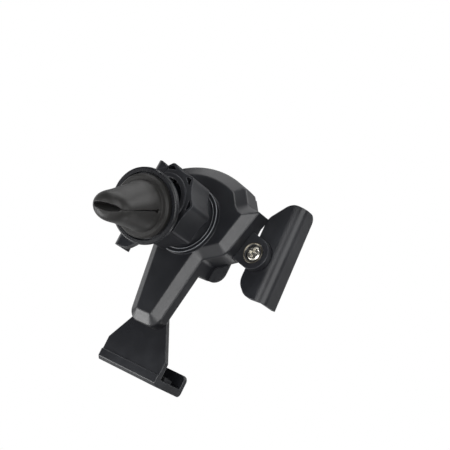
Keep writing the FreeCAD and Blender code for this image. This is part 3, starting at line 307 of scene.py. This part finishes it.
@dataclass
class Finishes:
    """The finishes of the holder, made once and shared."""

    moulding: bpy.types.Material = field(init=False)
    nylon: bpy.types.Material = field(init=False)
    satin: bpy.types.Material = field(init=False)
    clean: bpy.types.Material = field(init=False)
    lip_highlight_grey: bpy.types.Material = field(init=False)
    nose: bpy.types.Material = field(init=False)
    pad: bpy.types.Material = field(init=False)
    nickel: bpy.types.Material = field(init=False)
    zinc: bpy.types.Material = field(init=False)
    shaded_steel: bpy.types.Material = field(init=False)

    def __post_init__(self) -> None:
        """Makes the materials."""
        # Each plastic's second colour is its faint random mottle and the painted highlight on its rounded
        # edges.
        # Deep cool black whose grain twinkles on every bevel, as on spark-eroded ABS.
        self.moulding = MouldedPlastic("abs_sparked_black", "15161a", "4a4c51", Grain.SPARKED, 0.35, 0.04,
                                       sparkle=0.055).material()
        # Flat, dry black, ridges with a painted grey highlight; looks tougher than the shell beside it.
        self.nylon = MouldedPlastic("nylon_matt_black", "191a1e", "64676c", Grain.SATIN, 0.46,
                                    specular=0.38).material()
        # Smooth black that draws a lamp out into one long clean streak on the clamps and the foot.
        self.satin = MouldedPlastic("abs_satin_black", "16171b", "686b70", Grain.SATIN, 0.32,
                                    0.006).material()
        # The same satin on the clip's ring, darker and with only a faint painted edge highlight.
        self.clean = MouldedPlastic("abs_clean_black", "121317", "26282c", Grain.SATIN, 0.28, 0.006,
                                    specular=0.34).material()
        # Light grey painted highlight for the two thin light lines along the top edges of the lip.
        self.lip_highlight_grey = MouldedPlastic("abs_painted_highlight_grey", "7b7e82", "b4b6b9", Grain.POLISHED,
                                        0.2).material()
        # Warm soft black with broad dim highlights, which tells the rubber nose from the cool plastic.
        self.nose = MouldedRubber("moulded_rubber_warm_black", "1b1a19", "242322", 0.45).material()
        # Dull charcoal that shows the pads' grips by their shadows alone.
        self.pad = MouldedRubber("pad_rubber_black", "26272a", "323336", 0.7).material()
        # Bright, slightly warm metal with mottled glints, the only light spots on the holder.
        self.nickel = PlatedSteel("nickel_plated_steel", "d8d5cc", "b7b3a8", 0.24).material()
        # Duller, bluer metal for the hidden pins and the washer.
        self.zinc = PlatedSteel("zinc_plated_steel", "b4b6b8", "9a9c9e", 0.35).material()
        # Painted shade: steel darkened to a dim brownish grey for the ring round each bright clamp screw.
        self.shaded_steel = PlatedSteel("steel_with_painted_shade", "6f6a60", "57534b", 0.34).material()


def dress(frame: dict, finish: bpy.types.Material, names: list[str]) -> None:
    """Gives CAD nodes a finish.

    Args:
        frame: the loaded frame.
        finish: the material.
        names: the nodes.
    """
    for name in names:
        node = frame["nodes"][name]
        node.data.materials.clear()
        node.data.materials.append(finish)
        LOG.info("%s: %s", name, finish.name)


def new_piece(name: str, mesh: bpy.types.Mesh, finish: bpy.types.Material) -> bpy.types.Object:
    """Links a mesh as a visible piece with one finish.

    Args:
        name: the piece's name.
        mesh: its mesh, in the part's frame.
        finish: its material.

    Returns:
        The piece.
    """
    mesh.name = name
    mesh.materials.clear()
    mesh.materials.append(finish)
    piece = bpy.data.objects.new(name, mesh)
    bpy.context.collection.objects.link(piece)
    LOG.info("%s: %d faces, %s", name, len(mesh.polygons), finish.name)
    return piece


def turn_ring(shape: bmesh.types.BMesh, middle: tuple[float, float], section: list[tuple[float, float]],
              steps: int) -> None:
    """Turns a closed section into a ring about an axis along Y.

    Args:
        shape: the mesh that the ring is added to.
        middle: the axis' X and Z.
        section: the section's points, each as its radius and its Y.
        steps: how many facets the ring has.
    """
    loops = []
    for step in range(steps):
        angle = 2 * pi * step / steps
        across, up = cos(angle), sin(angle)
        loops.append([shape.verts.new((middle[0] + radius * across, back, middle[1] + radius * up))
                      for radius, back in section])
    count = len(section)
    for here, after in zip(loops, loops[1:] + loops[:1]):
        for i in range(count):
            j = (i + 1) % count
            shape.faces.new((here[i], here[j], after[j], after[i]))


def ring_piece(name: str, shape: bmesh.types.BMesh, finish: bpy.types.Material) -> bpy.types.Object:
    """Makes a smooth piece of turned rings.

    Args:
        name: the piece's name.
        shape: its rings, which are used up.
        finish: its material.

    Returns:
        The piece.
    """
    bmesh.ops.recalc_face_normals(shape, faces=shape.faces)
    mesh = bpy.data.meshes.new(name)
    shape.to_mesh(mesh)
    shape.free()
    mesh.shade_smooth()
    return new_piece(name, mesh, finish)


@dataclass
class SoftEdges:
    """Softens a CAD node's sharp edges as the radius of a real mould does, on a merged copy of its mesh."""

    frame: dict
    radius: float = 0.25 * MM
    segments: int = 3
    from_angle: float = radians(24)
    merged: float = 0.002 * MM
    flat: float = radians(0.6)

    def copy(self, node: str) -> bmesh.types.BMesh:
        """Copies a node's mesh with its doubled points merged and its flat faces joined.

        Args:
            node: the CAD node's name.

        Returns:
            The copy.
        """
        shape = bmesh.new()
        source = self.frame["nodes"][node]
        shape.from_mesh(source.data)
        shape.transform(source.matrix_world)
        bmesh.ops.remove_doubles(shape, verts=shape.verts, dist=self.merged)
        bmesh.ops.dissolve_limit(shape, angle_limit=self.flat, verts=shape.verts, edges=shape.edges)
        bmesh.ops.recalc_face_normals(shape, faces=shape.faces)
        return shape

    def round_off(self, shape: bmesh.types.BMesh, offset: float,
                  chosen: Callable[[bmesh.types.BMEdge], bool]) -> None:
        """Rounds the chosen edges of a copy.

        Args:
            shape: the copy.
            offset: how far the curve starts from the edge.
            chosen: says whether an edge is rounded.
        """
        edges = [edge for edge in shape.edges if len(edge.link_faces) == 2
                 and edge.calc_face_angle(0.0) > self.from_angle and chosen(edge)]
        LOG.info("rounded %d edges", len(edges))
        bmesh.ops.bevel(shape, geom=edges, offset=offset, offset_type="OFFSET", segments=self.segments,
                        profile=0.5, affect="EDGES", clamp_overlap=False)

    def apply(self, node: str, body: str, slot: str, finish: bpy.types.Material,
              radius: float | None = None, shape: bmesh.types.BMesh | None = None) -> bpy.types.Object:
        """Makes the softened piece and lets it stand for the node.

        Args:
            node: the CAD node's name.
            body: the body that it rides on.
            slot: not used.
            finish: its material.
            radius: the edges' radius, where it isn't the usual one.
            shape: a copy that has been worked on already.

        Returns:
            The piece.
        """
        shape = shape or self.copy(node)
        mesh = bpy.data.meshes.new(node + "_soft")
        shape.to_mesh(mesh)
        shape.free()
        mesh.shade_smooth()
        host = bpy.data.objects.new(node + "_host", mesh)
        bpy.context.collection.objects.link(host)
        bevel = host.modifiers.new("soft", "BEVEL")
        bevel.width = radius or self.radius
        bevel.segments = self.segments
        bevel.limit_method = "ANGLE"
        bevel.angle_limit = self.from_angle
        bevel.miter_outer = "MITER_ARC"
        bevel.harden_normals = True
        even = host.modifiers.new("even", "WEIGHTED_NORMAL")
        even.weight = 50
        seen = host.evaluated_get(bpy.context.evaluated_depsgraph_get())
        soft = bpy.data.meshes.new_from_object(seen)
        host.modifiers.clear()
        bpy.data.objects.remove(host)
        bpy.data.meshes.remove(mesh)
        piece = new_piece(node + "_soft", soft, finish)
        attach(piece, body)
        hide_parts(node)
        return piece


@dataclass
class GripTree:
    """A Geometry Nodes tree that lays a grid of small raised grips on a flat pad."""

    finish: bpy.types.Material
    tree: bpy.types.NodeTree = field(init=False)

    def __post_init__(self) -> None:
        """Builds the tree with its named inputs."""
        tree = bpy.data.node_groups.new("pad_grips", "GeometryNodeTree")
        self.tree = tree
        face = tree.interface
        for name in ("Width", "Height", "Grip Length", "Grip Width", "Grip Rise"):
            face.new_socket(name, in_out="INPUT", socket_type="NodeSocketFloat")
        for name in ("Columns", "Rows"):
            face.new_socket(name, in_out="INPUT", socket_type="NodeSocketInt")
        face.new_socket("Finish", in_out="INPUT", socket_type="NodeSocketMaterial")
        face.new_socket("Geometry", in_out="OUTPUT", socket_type="NodeSocketGeometry")
        given = add_node(tree, "NodeGroupInput").outputs
        grid = add_node(tree, "GeometryNodeMeshGrid", {
            "Size X": given["Width"], "Size Y": given["Height"],
            "Vertices X": given["Columns"], "Vertices Y": given["Rows"]})
        size = add_node(tree, "ShaderNodeCombineXYZ", {0: given["Grip Length"], 1: given["Grip Width"],
                                                      2: given["Grip Rise"]})
        block = add_node(tree, "GeometryNodeMeshUVSphere", {"Segments": 12, "Rings": 8, "Radius": 0.5})
        shaped = add_node(tree, "GeometryNodeTransform", {"Geometry": block.outputs[0],
                                                          "Scale": size.outputs[0]})
        spread = add_node(tree, "GeometryNodeInstanceOnPoints", {"Points": grid.outputs[0],
                                                                "Instance": shaped.outputs[0]})
        real = add_node(tree, "GeometryNodeRealizeInstances", {"Geometry": spread.outputs[0]})
        smooth = add_node(tree, "GeometryNodeSetShadeSmooth", {"Geometry": real.outputs[0]})
        coated = add_node(tree, "GeometryNodeSetMaterial", {"Geometry": smooth.outputs[0],
                                                           "Material": given["Finish"]})
        out = add_node(tree, "NodeGroupOutput")
        tree.links.new(coated.outputs[0], out.inputs["Geometry"])

    def lay(self, name: str, place: Matrix, area: tuple[float, float], counts: tuple[int, int],
            grip: tuple[float, float, float]) -> bpy.types.Object:
        """Lays the grips on a pad.

        Args:
            name: the new piece's name.
            place: the pad face's centre, with X and Y in the face and Z out of it.
            area: how far the grid of grips reaches along X and Y.
            counts: how many grips stand along X and Y.
            grip: length, width and full height of one grip; half its height stands out.

        Returns:
            The grips as one plain mesh object.
        """
        host = bpy.data.objects.new(name + "_host", bpy.data.meshes.new(name + "_host"))
        bpy.context.collection.objects.link(host)
        modifier = host.modifiers.new("grips", "NODES")
        modifier.node_group = self.tree
        amounts = {"Width": area[0], "Height": area[1], "Columns": counts[0], "Rows": counts[1],
                   "Grip Length": grip[0], "Grip Width": grip[1], "Grip Rise": grip[2], "Finish": self.finish}
        for item in self.tree.interface.items_tree:
            if item.in_out == "INPUT":
                modifier[item.identifier] = amounts[item.name]
        seen = host.evaluated_get(bpy.context.evaluated_depsgraph_get())
        mesh = bpy.data.meshes.new_from_object(seen)
        host.modifiers.remove(modifier)
        bpy.data.objects.remove(host)
        mesh.transform(place)
        mesh.name = name
        piece = bpy.data.objects.new(name, mesh)
        bpy.context.collection.objects.link(piece)
        LOG.info("%s: %d faces", name, len(mesh.polygons))
        return piece


@dataclass
class VentClip:
    """Rubber nose with its core, cup and rim ring, on the ball stud."""

    frame: dict
    finishes: Finishes
    edges: SoftEdges
    ball_back: float = 28.55 * MM
    pan: float = radians(9)
    tilt: float = radians(-111.5)
    swivel: float = radians(7)
    place: Matrix = field(init=False)
    slit_half: float = 0.3 * MM
    slit_left: float = 0.8
    mouth_left: float = 0.25
    mouth_from: float = 31.0 * MM
    slit_reach: float = 1.2
    ring_edge: float = 0.26 * MM
    ring_front: float = 0.3

    def __post_init__(self) -> None:
        """Works out the clip's own frame: the ball's centre, with Z along the clip."""
        self.place = (Matrix.Translation((0, self.ball_back, 0)) @ Matrix.Rotation(self.pan, 4, "Z")
                      @ Matrix.Rotation(self.tilt, 4, "X") @ Matrix.Rotation(self.swivel, 4, "Z"))

    def close_slit(self, nose: bmesh.types.BMesh) -> None:
        """Draws the slit's walls together, because the soft rubber closes on itself.

        Args:
            nose: the nose's copy.
        """
        own = self.place.inverted()
        for vert in nose.verts:
            spot = own @ vert.co
            if abs(spot.y) < self.slit_half * self.slit_reach and spot.z > 0:
                spot.y *= self.mouth_left if spot.z > self.mouth_from else self.slit_left
                vert.co = self.place @ spot

    def build(self) -> None:
        """Dresses the clip's pieces."""
        dress(self.frame, self.finishes.moulding, ["nose_core"])
        dress(self.frame, self.finishes.satin, ["ball_stud"])
        dress(self.frame, self.finishes.zinc, ["clip_washer"])
        dress(self.frame, self.finishes.nickel, ["clip_screw"])
        nose = self.edges.copy("rubber_nose")
        self.close_slit(nose)
        self.edges.apply("rubber_nose", "clip", "nose_rubber", self.finishes.nose, 0.3 * MM, shape=nose)
        self.edges.apply("clip_cup", "clip", "black_moulding", self.finishes.nylon, 0.15 * MM)
        ring = self.edges.copy("clip_ring")
        own = self.place.inverted()
        front = max((own @ vert.co).z for vert in ring.verts)
        self.edges.round_off(ring, self.ring_edge, lambda edge: all(
            (own @ vert.co).z > front - self.ring_edge * self.ring_front for vert in edge.verts))
        self.edges.apply("clip_ring", "clip", "black_gloss", self.finishes.clean, 0.12 * MM, shape=ring)


@dataclass
class Socket:
    """Liner and lock nut round the ball."""

    frame: dict
    finishes: Finishes
    edges: SoftEdges
    ridge_edge: float = 0.75 * MM
    ridge_from: float = 11.0 * MM
    ridge_long: float = 5.0 * MM
    ridge_lean: float = 0.95

    def is_ridge(self, edge: bmesh.types.BMEdge) -> bool:
        """Tells a ridge's crest, a long outer edge along the nut's axis."""
        one, two = (vert.co for vert in edge.verts)
        run = two - one
        return (abs(run.y) > self.ridge_long and abs(run.y) > self.ridge_lean * run.length
                and min(Vector((v.x, v.z)).length for v in (one, two)) > self.ridge_from)

    def build(self) -> None:
        """Dresses the socket's pieces."""
        dress(self.frame, self.finishes.moulding, ["socket_liner"])
        nut = self.edges.copy("lock_nut")
        self.edges.round_off(nut, self.ridge_edge, self.is_ridge)
        self.edges.apply("lock_nut", "lock_nut", "black_moulding", self.finishes.nylon, 0.3 * MM, shape=nut)


@dataclass
class Cradle:
    """Rear housing, front cover and front pad with its grips."""

    frame: dict
    finishes: Finishes
    edges: SoftEdges
    grips: GripTree
    pip: float = 1.5 * MM
    pip_rise: float = 0.5 * MM
    pitch: float = 2.6 * MM
    margin: float = 2.4 * MM
    crown_edge: float = 0.5 * MM
    crown_low: float = 10.0 * MM
    crown_top: float = 14.0 * MM
    lip_edge: float = 0.36 * MM
    lip_top: float = 15.75 * MM
    lip_inner: float = 11.0 * MM
    bead: float = 0.15 * MM
    bead_rings: tuple[float, float] = (11.72 * MM, 13.1 * MM)
    bead_steps: tuple[int, int] = (128, 10)
    bead_sink: float = 0.18
    crown_turn: float = radians(70)

    def is_crown_edge(self, edge: bmesh.types.BMEdge) -> bool:
        """Tells the outer edges where the crown turns into its bevel and the bevel into the wall."""
        return (edge.calc_face_angle(0.0) < self.crown_turn and edge.is_convex
                and all(self.crown_low < vert.co.y < self.crown_top + NEAR for vert in edge.verts))

    def is_lip_edge(self, edge: bmesh.types.BMEdge) -> bool:
        """Tells the two round edges on top of the locating lip."""
        return all(abs(vert.co.y - self.lip_top) < NEAR
                   and Vector((vert.co.x, vert.co.z)).length > self.lip_inner for vert in edge.verts)

    def painted_lip_highlights(self) -> None:
        """Lays the two thin light grey lines on the lip's top edges, a painted highlight."""
        shape = bmesh.new()
        around, across = self.bead_steps
        level = self.lip_top - self.lip_edge * self.bead_sink
        for ring in self.bead_rings:
            angles = [2 * pi * k / across for k in range(across)]
            section = [(ring + self.bead * cos(angle), level + self.bead * sin(angle)) for angle in angles]
            turn_ring(shape, (0, 0), section, around)
        piece = ring_piece("painted_lip_highlights", shape, self.finishes.lip_highlight_grey)
        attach(piece, "cradle")

    def build(self) -> None:
        """Dresses the cradle and lays round pips on its pad."""
        dress(self.frame, self.finishes.moulding, ["front_cover"])
        shell = self.edges.copy("rear_housing")
        self.edges.round_off(shell, self.crown_edge, self.is_crown_edge)
        self.edges.round_off(shell, self.lip_edge, self.is_lip_edge)
        self.edges.apply("rear_housing", "cradle", "black_moulding", self.finishes.moulding, 0.25 * MM,
                         shape=shell)
        dress(self.frame, self.finishes.pad, ["front_pad"])
        dress(self.frame, self.finishes.nickel, ["cover_screws"])
        self.painted_lip_highlights()
        low, high = (Vector(c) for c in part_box("front_pad"))
        middle = (low + high) / 2
        width, height = high.x - low.x - 2 * self.margin, high.z - low.z - 2 * self.margin
        counts = (round(width / self.pitch) + 1, round(height / self.pitch) + 1)
        place = Matrix.Translation((middle.x, low.y, middle.z)) @ Matrix.Rotation(radians(90), 4, "X")
        pips = self.grips.lay("front_pad_pips", place, (width, height), counts,
                              (self.pip, self.pip, self.pip_rise))
        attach(pips, "cradle")


@dataclass
class Foot:
    """Sliding foot with its shelf, carriage and ribbed pad."""

    frame: dict
    finishes: Finishes
    edges: SoftEdges
    grips: GripTree
    rib_width: float = 0.55 * MM
    rib_rise: float = 0.5 * MM
    rib_share: float = 0.94
    ribs: int = 5

    def build(self) -> None:
        """Dresses the foot and lays ribs on its pad."""
        dress(self.frame, self.finishes.moulding, ["carriage"])
        self.edges.apply("foot", "foot", "black_gloss", self.finishes.satin)
        dress(self.frame, self.finishes.pad, ["foot_pad"])
        dress(self.frame, self.finishes.nickel, ["carriage_screws"])
        low, high = (Vector(c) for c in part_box("foot_pad"))
        middle = (low + high) / 2
        depth = (high.y - low.y) * (self.ribs - 1) / self.ribs
        place = Matrix.Translation((middle.x, middle.y, high.z))
        ribs = self.grips.lay("foot_pad_ribs", place, (MM, depth), (1, self.ribs),
                              ((high.x - low.x) * self.rib_share, self.rib_width, self.rib_rise))
        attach(ribs, "foot")


@dataclass
class Wing:
    """One side's arm, pin, clamp, clamp pad and screw."""

    frame: dict
    finishes: Finishes
    edges: SoftEdges
    grips: GripTree
    side: str
    out: int
    splay: float = radians(2)
    reach: float = 9.8 * MM
    back: float = 3.95 * MM
    corner: float = 4.2 * MM
    corner_cuts: int = 12
    pad_face: float = 7.4 * MM
    pad_middle: tuple[float, float] = (-1.2 * MM, 2.7 * MM)
    pad_size: tuple[float, float] = (4.4 * MM, 31.4 * MM)
    rib_width: float = 0.7 * MM
    rib_rise: float = 0.5 * MM
    rib_share: float = 0.9
    ribs: int = 17
    collar: tuple[tuple[float, float], ...] = ((3.08, -0.6), (3.08, -0.05), (3.5, 0.03), (3.68, 0.18),
                                               (3.82, 0.22), (3.96, 0.14), (4.0, -0.3))
    collar_steps: int = 72
    head_from: float = 2.2 * MM
    head_grow: float = 1.07

    def clamp_place(self) -> Matrix:
        """Gives the clamp's own frame: its pivot, leaning outwards at the bottom.

        Returns:
            The frame's matrix.
        """
        low, high = (Vector(c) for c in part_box(self.side + "_clamp_screw"))
        pivot = (low + high) / 2
        return Matrix.Translation((pivot.x, 0, pivot.z)) @ Matrix.Rotation(-self.out * self.splay, 4, "Y")

    def broad_corner(self, clamp: bmesh.types.BMesh) -> None:
        """Rounds the clamp's back corner to the wide curve of the bent wall.

        Args:
            clamp: the clamp's copy.
        """
        place = self.clamp_place()
        own = place.inverted()
        middle = Vector((self.out * (self.reach - self.corner), self.back - self.corner, 0))
        for cut in range(self.corner_cuts + 1):
            angle = pi / 2 * cut / self.corner_cuts
            across = Vector((self.out * -sin(angle), cos(angle), 0))
            bmesh.ops.bisect_plane(clamp, geom=clamp.verts[:] + clamp.edges[:] + clamp.faces[:], dist=1e-7,
                                   plane_co=place @ middle, plane_no=place.to_3x3() @ across)
        for vert in clamp.verts:
            spot = own @ vert.co
            leg = Vector((spot.x - middle.x, spot.y - middle.y, 0))
            if leg.x * self.out >= 0 and leg.y >= 0 and leg.length > self.corner:
                leg = leg.normalized() * self.corner
                vert.co = place @ Vector((middle.x + leg.x, middle.y + leg.y, spot.z))

    def screw_collar(self) -> None:
        """Lays the thin steel collar round the screw's head on the lug's rim."""
        low, high = (Vector(c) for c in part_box(self.side + "_clamp_screw"))
        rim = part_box(self.side + "_arm")[1][1]
        section = [(r * MM, rim + up * MM) for r, up in self.collar]
        shape = bmesh.new()
        turn_ring(shape, ((low.x + high.x) / 2, (low.z + high.z) / 2), section, self.collar_steps)
        piece = ring_piece(self.side + "_screw_collar", shape, self.finishes.shaded_steel)
        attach(piece, self.side + "_arm")

    def screw_head(self) -> bmesh.types.BMesh:
        """Copies the clamp's screw with its head filling the seat.

        Returns:
            The copy.
        """
        screw = self.edges.copy(self.side + "_clamp_screw")
        low, high = (Vector(c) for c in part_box(self.side + "_clamp_screw"))
        middle = (low + high) / 2
        for vert in screw.verts:
            leg = Vector((vert.co.x - middle.x, 0, vert.co.z - middle.z))
            if leg.length > self.head_from:
                vert.co += leg * (self.head_grow - 1)
        return screw

    def pad_ribs(self) -> None:
        """Lays the ribs across the clamp pad's inner face."""
        face = Matrix(((0, 0, -self.out), (-self.out, 0, 0), (0, 1, 0))).to_4x4()
        depth, height = self.pad_size
        spot = Matrix.Translation((self.out * self.pad_face, *self.pad_middle))
        gap = height / self.ribs
        ribs = self.grips.lay(self.side + "_clamp_pad_ribs", self.clamp_place() @ spot @ face,
                              (MM, height - gap), (1, self.ribs),
                              (depth * self.rib_share, self.rib_width, self.rib_rise))
        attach(ribs, self.side + "_clamp")

    def build(self) -> None:
        """Dresses the wing's pieces."""
        side = self.side
        clamp = self.edges.copy(side + "_clamp")
        self.broad_corner(clamp)
        self.edges.apply(side + "_arm", side + "_arm", "black_gloss", self.finishes.satin, 0.2 * MM)
        self.edges.apply(side + "_clamp", side + "_clamp", "black_gloss", self.finishes.satin, 0.2 * MM,
                         shape=clamp)
        dress(self.frame, self.finishes.pad, [side + "_clamp_pad"])
        dress(self.frame, self.finishes.zinc, [side + "_arm_pin"])
        self.edges.apply(side + "_clamp_screw", side + "_clamp", "nickel_screw", self.finishes.nickel,
                         0.12 * MM, shape=self.screw_head())
        self.pad_ribs()
        self.screw_collar()


@dataclass(frozen=True)
class Lamp:
    """A soft square lamp: the way to it from the object, its distance, its side, and how bright its face is.

    A radiance of 1 is white.
    """

    name: str
    way: tuple[float, float, float]
    away: float
    size: float
    radiance: float


LAMPS = (
    Lamp("key", (-0.32, 0.92, -0.18), 0.7, 0.46, 4.6),         # the shoulder's and the neck's right bevels
    Lamp("low", (0.65, 0.40, -0.65), 0.5, 0.28, 6.4),          # the neck's tip and the heel
    Lamp("fill", (0.12, 0.74, -0.67), 0.8, 0.36, 0.8),         # the bevel at the hip
    Lamp("side", (0.99, -0.10, 0.10), 0.6, 0.35, 1.0),         # the neck's left bevel
    Lamp("rim", (-0.97, 0.16, 0.10), 0.6, 0.52, 2.3),          # the clamps' round back corners
    Lamp("under", (-0.10, 0.44, -0.89), 0.6, 0.16, 6.5),       # undersides
    Lamp("top", (0.32, 0.12, 0.94), 0.8, 0.80, 1.9),           # the nose and the top bevel
    Lamp("spark", (0.21, 0.80, 0.56), 0.6, 0.06, 40.0),        # small glints on the screws and ridges
    Lamp("front", (-0.40, -0.36, 0.84), 0.8, 0.50, 2.8),       # the nose's flank and the pads from above
    Lamp("face", (0.10, -0.98, 0.12), 0.8, 0.44, 2.8),         # the front
    Lamp("front_low", (-0.25, -0.62, -0.74), 0.8, 0.50, 2.8),  # the front from below
)


@dataclass
class Studio:
    """Pale floor, soft lamps and the camera at the photograph's angle."""

    eye: Vector = field(default_factory=lambda: Vector((-257.107, 331.967, -56.169)) * MM)
    right: Vector = field(default_factory=lambda: Vector((-0.75384797, -0.48884512, 0.43902583)))
    down: Vector = field(default_factory=lambda: Vector((-0.2741878, -0.37316946, -0.88632139)))
    ahead: Vector = field(default_factory=lambda: Vector((0.59710492, -0.78852711, 0.14727767)))
    focal_px: float = 1105.71
    image_px: float = 450.0
    sensor_mm: float = 36.0
    floor_drop: float = 450 * MM
    aim: Vector = field(default_factory=lambda: Vector((0, 20, -10)) * MM)
    sweep: Vector = field(default_factory=lambda: Vector((-0.32, -0.86, 0.40)))
    sweep_edge: tuple[float, float] = (0.74, 0.95)
    sweep_white: float = 0.42
    soft_light: float = 0.14
    floor_half: float = 2.5
    floor_gloss: float = 0.3
    floor_white: float = 0.8
    floor_fade: tuple[float, float] = (0.5, 1.3)

    def camera(self) -> None:
        """Makes the camera."""
        data = bpy.data.cameras.new("camera")
        data.sensor_width = self.sensor_mm
        data.lens = self.sensor_mm * self.focal_px / self.image_px
        data.clip_start = 0.01
        cam = bpy.data.objects.new("camera", data)
        bpy.context.collection.objects.link(cam)
        turn = Matrix((self.right, -self.down, -self.ahead)).transposed().to_4x4()
        cam.matrix_world = Matrix.Translation(self.eye) @ turn
        bpy.context.scene.camera = cam

    def lamp(self, lamp: Lamp) -> None:
        """Makes a lamp that faces the object.

        Args:
            lamp: the lamp's place, size and strength.
        """
        data = bpy.data.lights.new(lamp.name, "AREA")
        data.shape = "SQUARE"
        data.size = lamp.size
        data.energy = lamp.radiance * pi * lamp.size ** 2
        light = bpy.data.objects.new(lamp.name, data)
        bpy.context.collection.objects.link(light)
        light.visible_camera = False
        way = Vector(lamp.way).normalized()
        turn = (-way).to_track_quat("-Z", "Y").to_matrix().to_4x4()
        light.matrix_world = Matrix.Translation(self.aim + way * lamp.away) @ turn

    def seen_white(self, tree: bpy.types.NodeTree,
                   gloss: bpy.types.NodeSocket | float) -> bpy.types.NodeSocket:
        """Tells how white a surface is to the ray that meets it: fully to the camera and through glass.

        Args:
            tree: the node tree to add to.
            gloss: how white it is in a reflection.

        Returns:
            The share of white.
        """
        path = add_node(tree, "ShaderNodeLightPath").outputs
        mirrored = add_node(tree, "ShaderNodeMath", {0: path["Is Glossy Ray"], 1: gloss},
                            operation="MULTIPLY")
        through = add_node(tree, "ShaderNodeMath", {0: path["Is Transmission Ray"], 1: mirrored.outputs[0]},
                           operation="MAXIMUM")
        seen = add_node(tree, "ShaderNodeMath", {0: path["Is Camera Ray"], 1: through.outputs[0]},
                        operation="MAXIMUM")
        return seen.outputs[0]

    def world(self) -> None:
        """Lights the scene softly from all round, with a white sweep that the camera and the gloss see."""
        world = bpy.data.worlds.new("studio")
        bpy.context.scene.world = world
        world.use_nodes = True
        tree = world.node_tree
        tree.nodes.clear()
        way = add_node(tree, "ShaderNodeTexCoord").outputs["Generated"]
        facing = add_node(tree, "ShaderNodeVectorMath", {0: way, 1: self.sweep}, operation="DOT_PRODUCT")
        sweep = add_node(tree, "ShaderNodeMapRange", {
            "Value": facing.outputs["Value"], "From Min": self.sweep_edge[0], "From Max": self.sweep_edge[1],
            "To Min": 0.0, "To Max": self.sweep_white}, interpolation_type="SMOOTHSTEP").outputs[0]
        soft = add_node(tree, "ShaderNodeBackground", {"Color": linear("e9ebee"),
                                                       "Strength": self.soft_light})
        white = add_node(tree, "ShaderNodeBackground", {"Color": (1, 1, 1, 1), "Strength": 1.0})
        mix = add_node(tree, "ShaderNodeMixShader", {0: self.seen_white(tree, sweep), 1: soft.outputs[0],
                                                     2: white.outputs[0]})
        add_node(tree, "ShaderNodeOutputWorld", {"Surface": mix.outputs[0]})

    def floor(self, below: float) -> None:
        """Makes the pale floor, which fades into the white behind it.

        Args:
            below: the height of the object's lowest point.
        """
        half = self.floor_half
        level = below - self.floor_drop
        mesh = bpy.data.meshes.new("floor")
        corners = [(-half, -half, level), (half, -half, level), (half, half, level), (-half, half, level)]
        mesh.from_pydata(corners, [], [(0, 1, 2, 3)])
        piece = bpy.data.objects.new("floor", mesh)
        bpy.context.collection.objects.link(piece)
        mat, tree = new_finish("floor_paper_white")
        paper = add_node(tree, "ShaderNodeBsdfDiffuse", {"Color": linear("a8a8a8")})
        glow = add_node(tree, "ShaderNodeEmission", {"Color": (1, 1, 1, 1), "Strength": 1.0})
        place = add_node(tree, "ShaderNodeTexCoord").outputs["Object"]
        reach = add_node(tree, "ShaderNodeVectorMath", {0: place, 1: (0, 0, level)}, operation="DISTANCE")
        share = add_node(tree, "ShaderNodeMapRange", {
            "Value": reach.outputs["Value"], "From Min": self.floor_fade[0], "From Max": self.floor_fade[1],
            "To Min": self.floor_white, "To Max": 1.0}, interpolation_type="SMOOTHSTEP").outputs[0]
        white = add_node(tree, "ShaderNodeMath", {0: self.seen_white(tree, self.floor_gloss), 1: share},
                         operation="MULTIPLY")
        mix = add_node(tree, "ShaderNodeMixShader", {0: white.outputs[0], 1: paper.outputs[0],
                                                     2: glow.outputs[0]})
        add_node(tree, "ShaderNodeOutputMaterial", {"Surface": mix.outputs[0]})
        mesh.materials.append(mat)
        piece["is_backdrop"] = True

    def build(self) -> None:
        """Sets up camera, world, floor and lamps."""
        bpy.context.scene.view_settings.view_transform = "Standard"
        self.camera()
        self.world()
        low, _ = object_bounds()
        self.floor(low[2])
        for lamp in LAMPS:
            self.lamp(lamp)


def main() -> None:
    """Builds the finishes, the sub-assemblies and the studio in order."""
    logging.basicConfig(level=logging.INFO, format="%(message)s")
    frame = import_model()
    finishes = Finishes()
    grips = GripTree(finishes.pad)
    edges = SoftEdges(frame)
    VentClip(frame, finishes, edges).build()
    Socket(frame, finishes, edges).build()
    Cradle(frame, finishes, edges, grips).build()
    Foot(frame, finishes, edges, grips).build()
    for side, out in (("left", -1), ("right", 1)):
        Wing(frame, finishes, edges, grips, side, out).build()
    Studio().build()


if __name__ == "__main__":
    main()
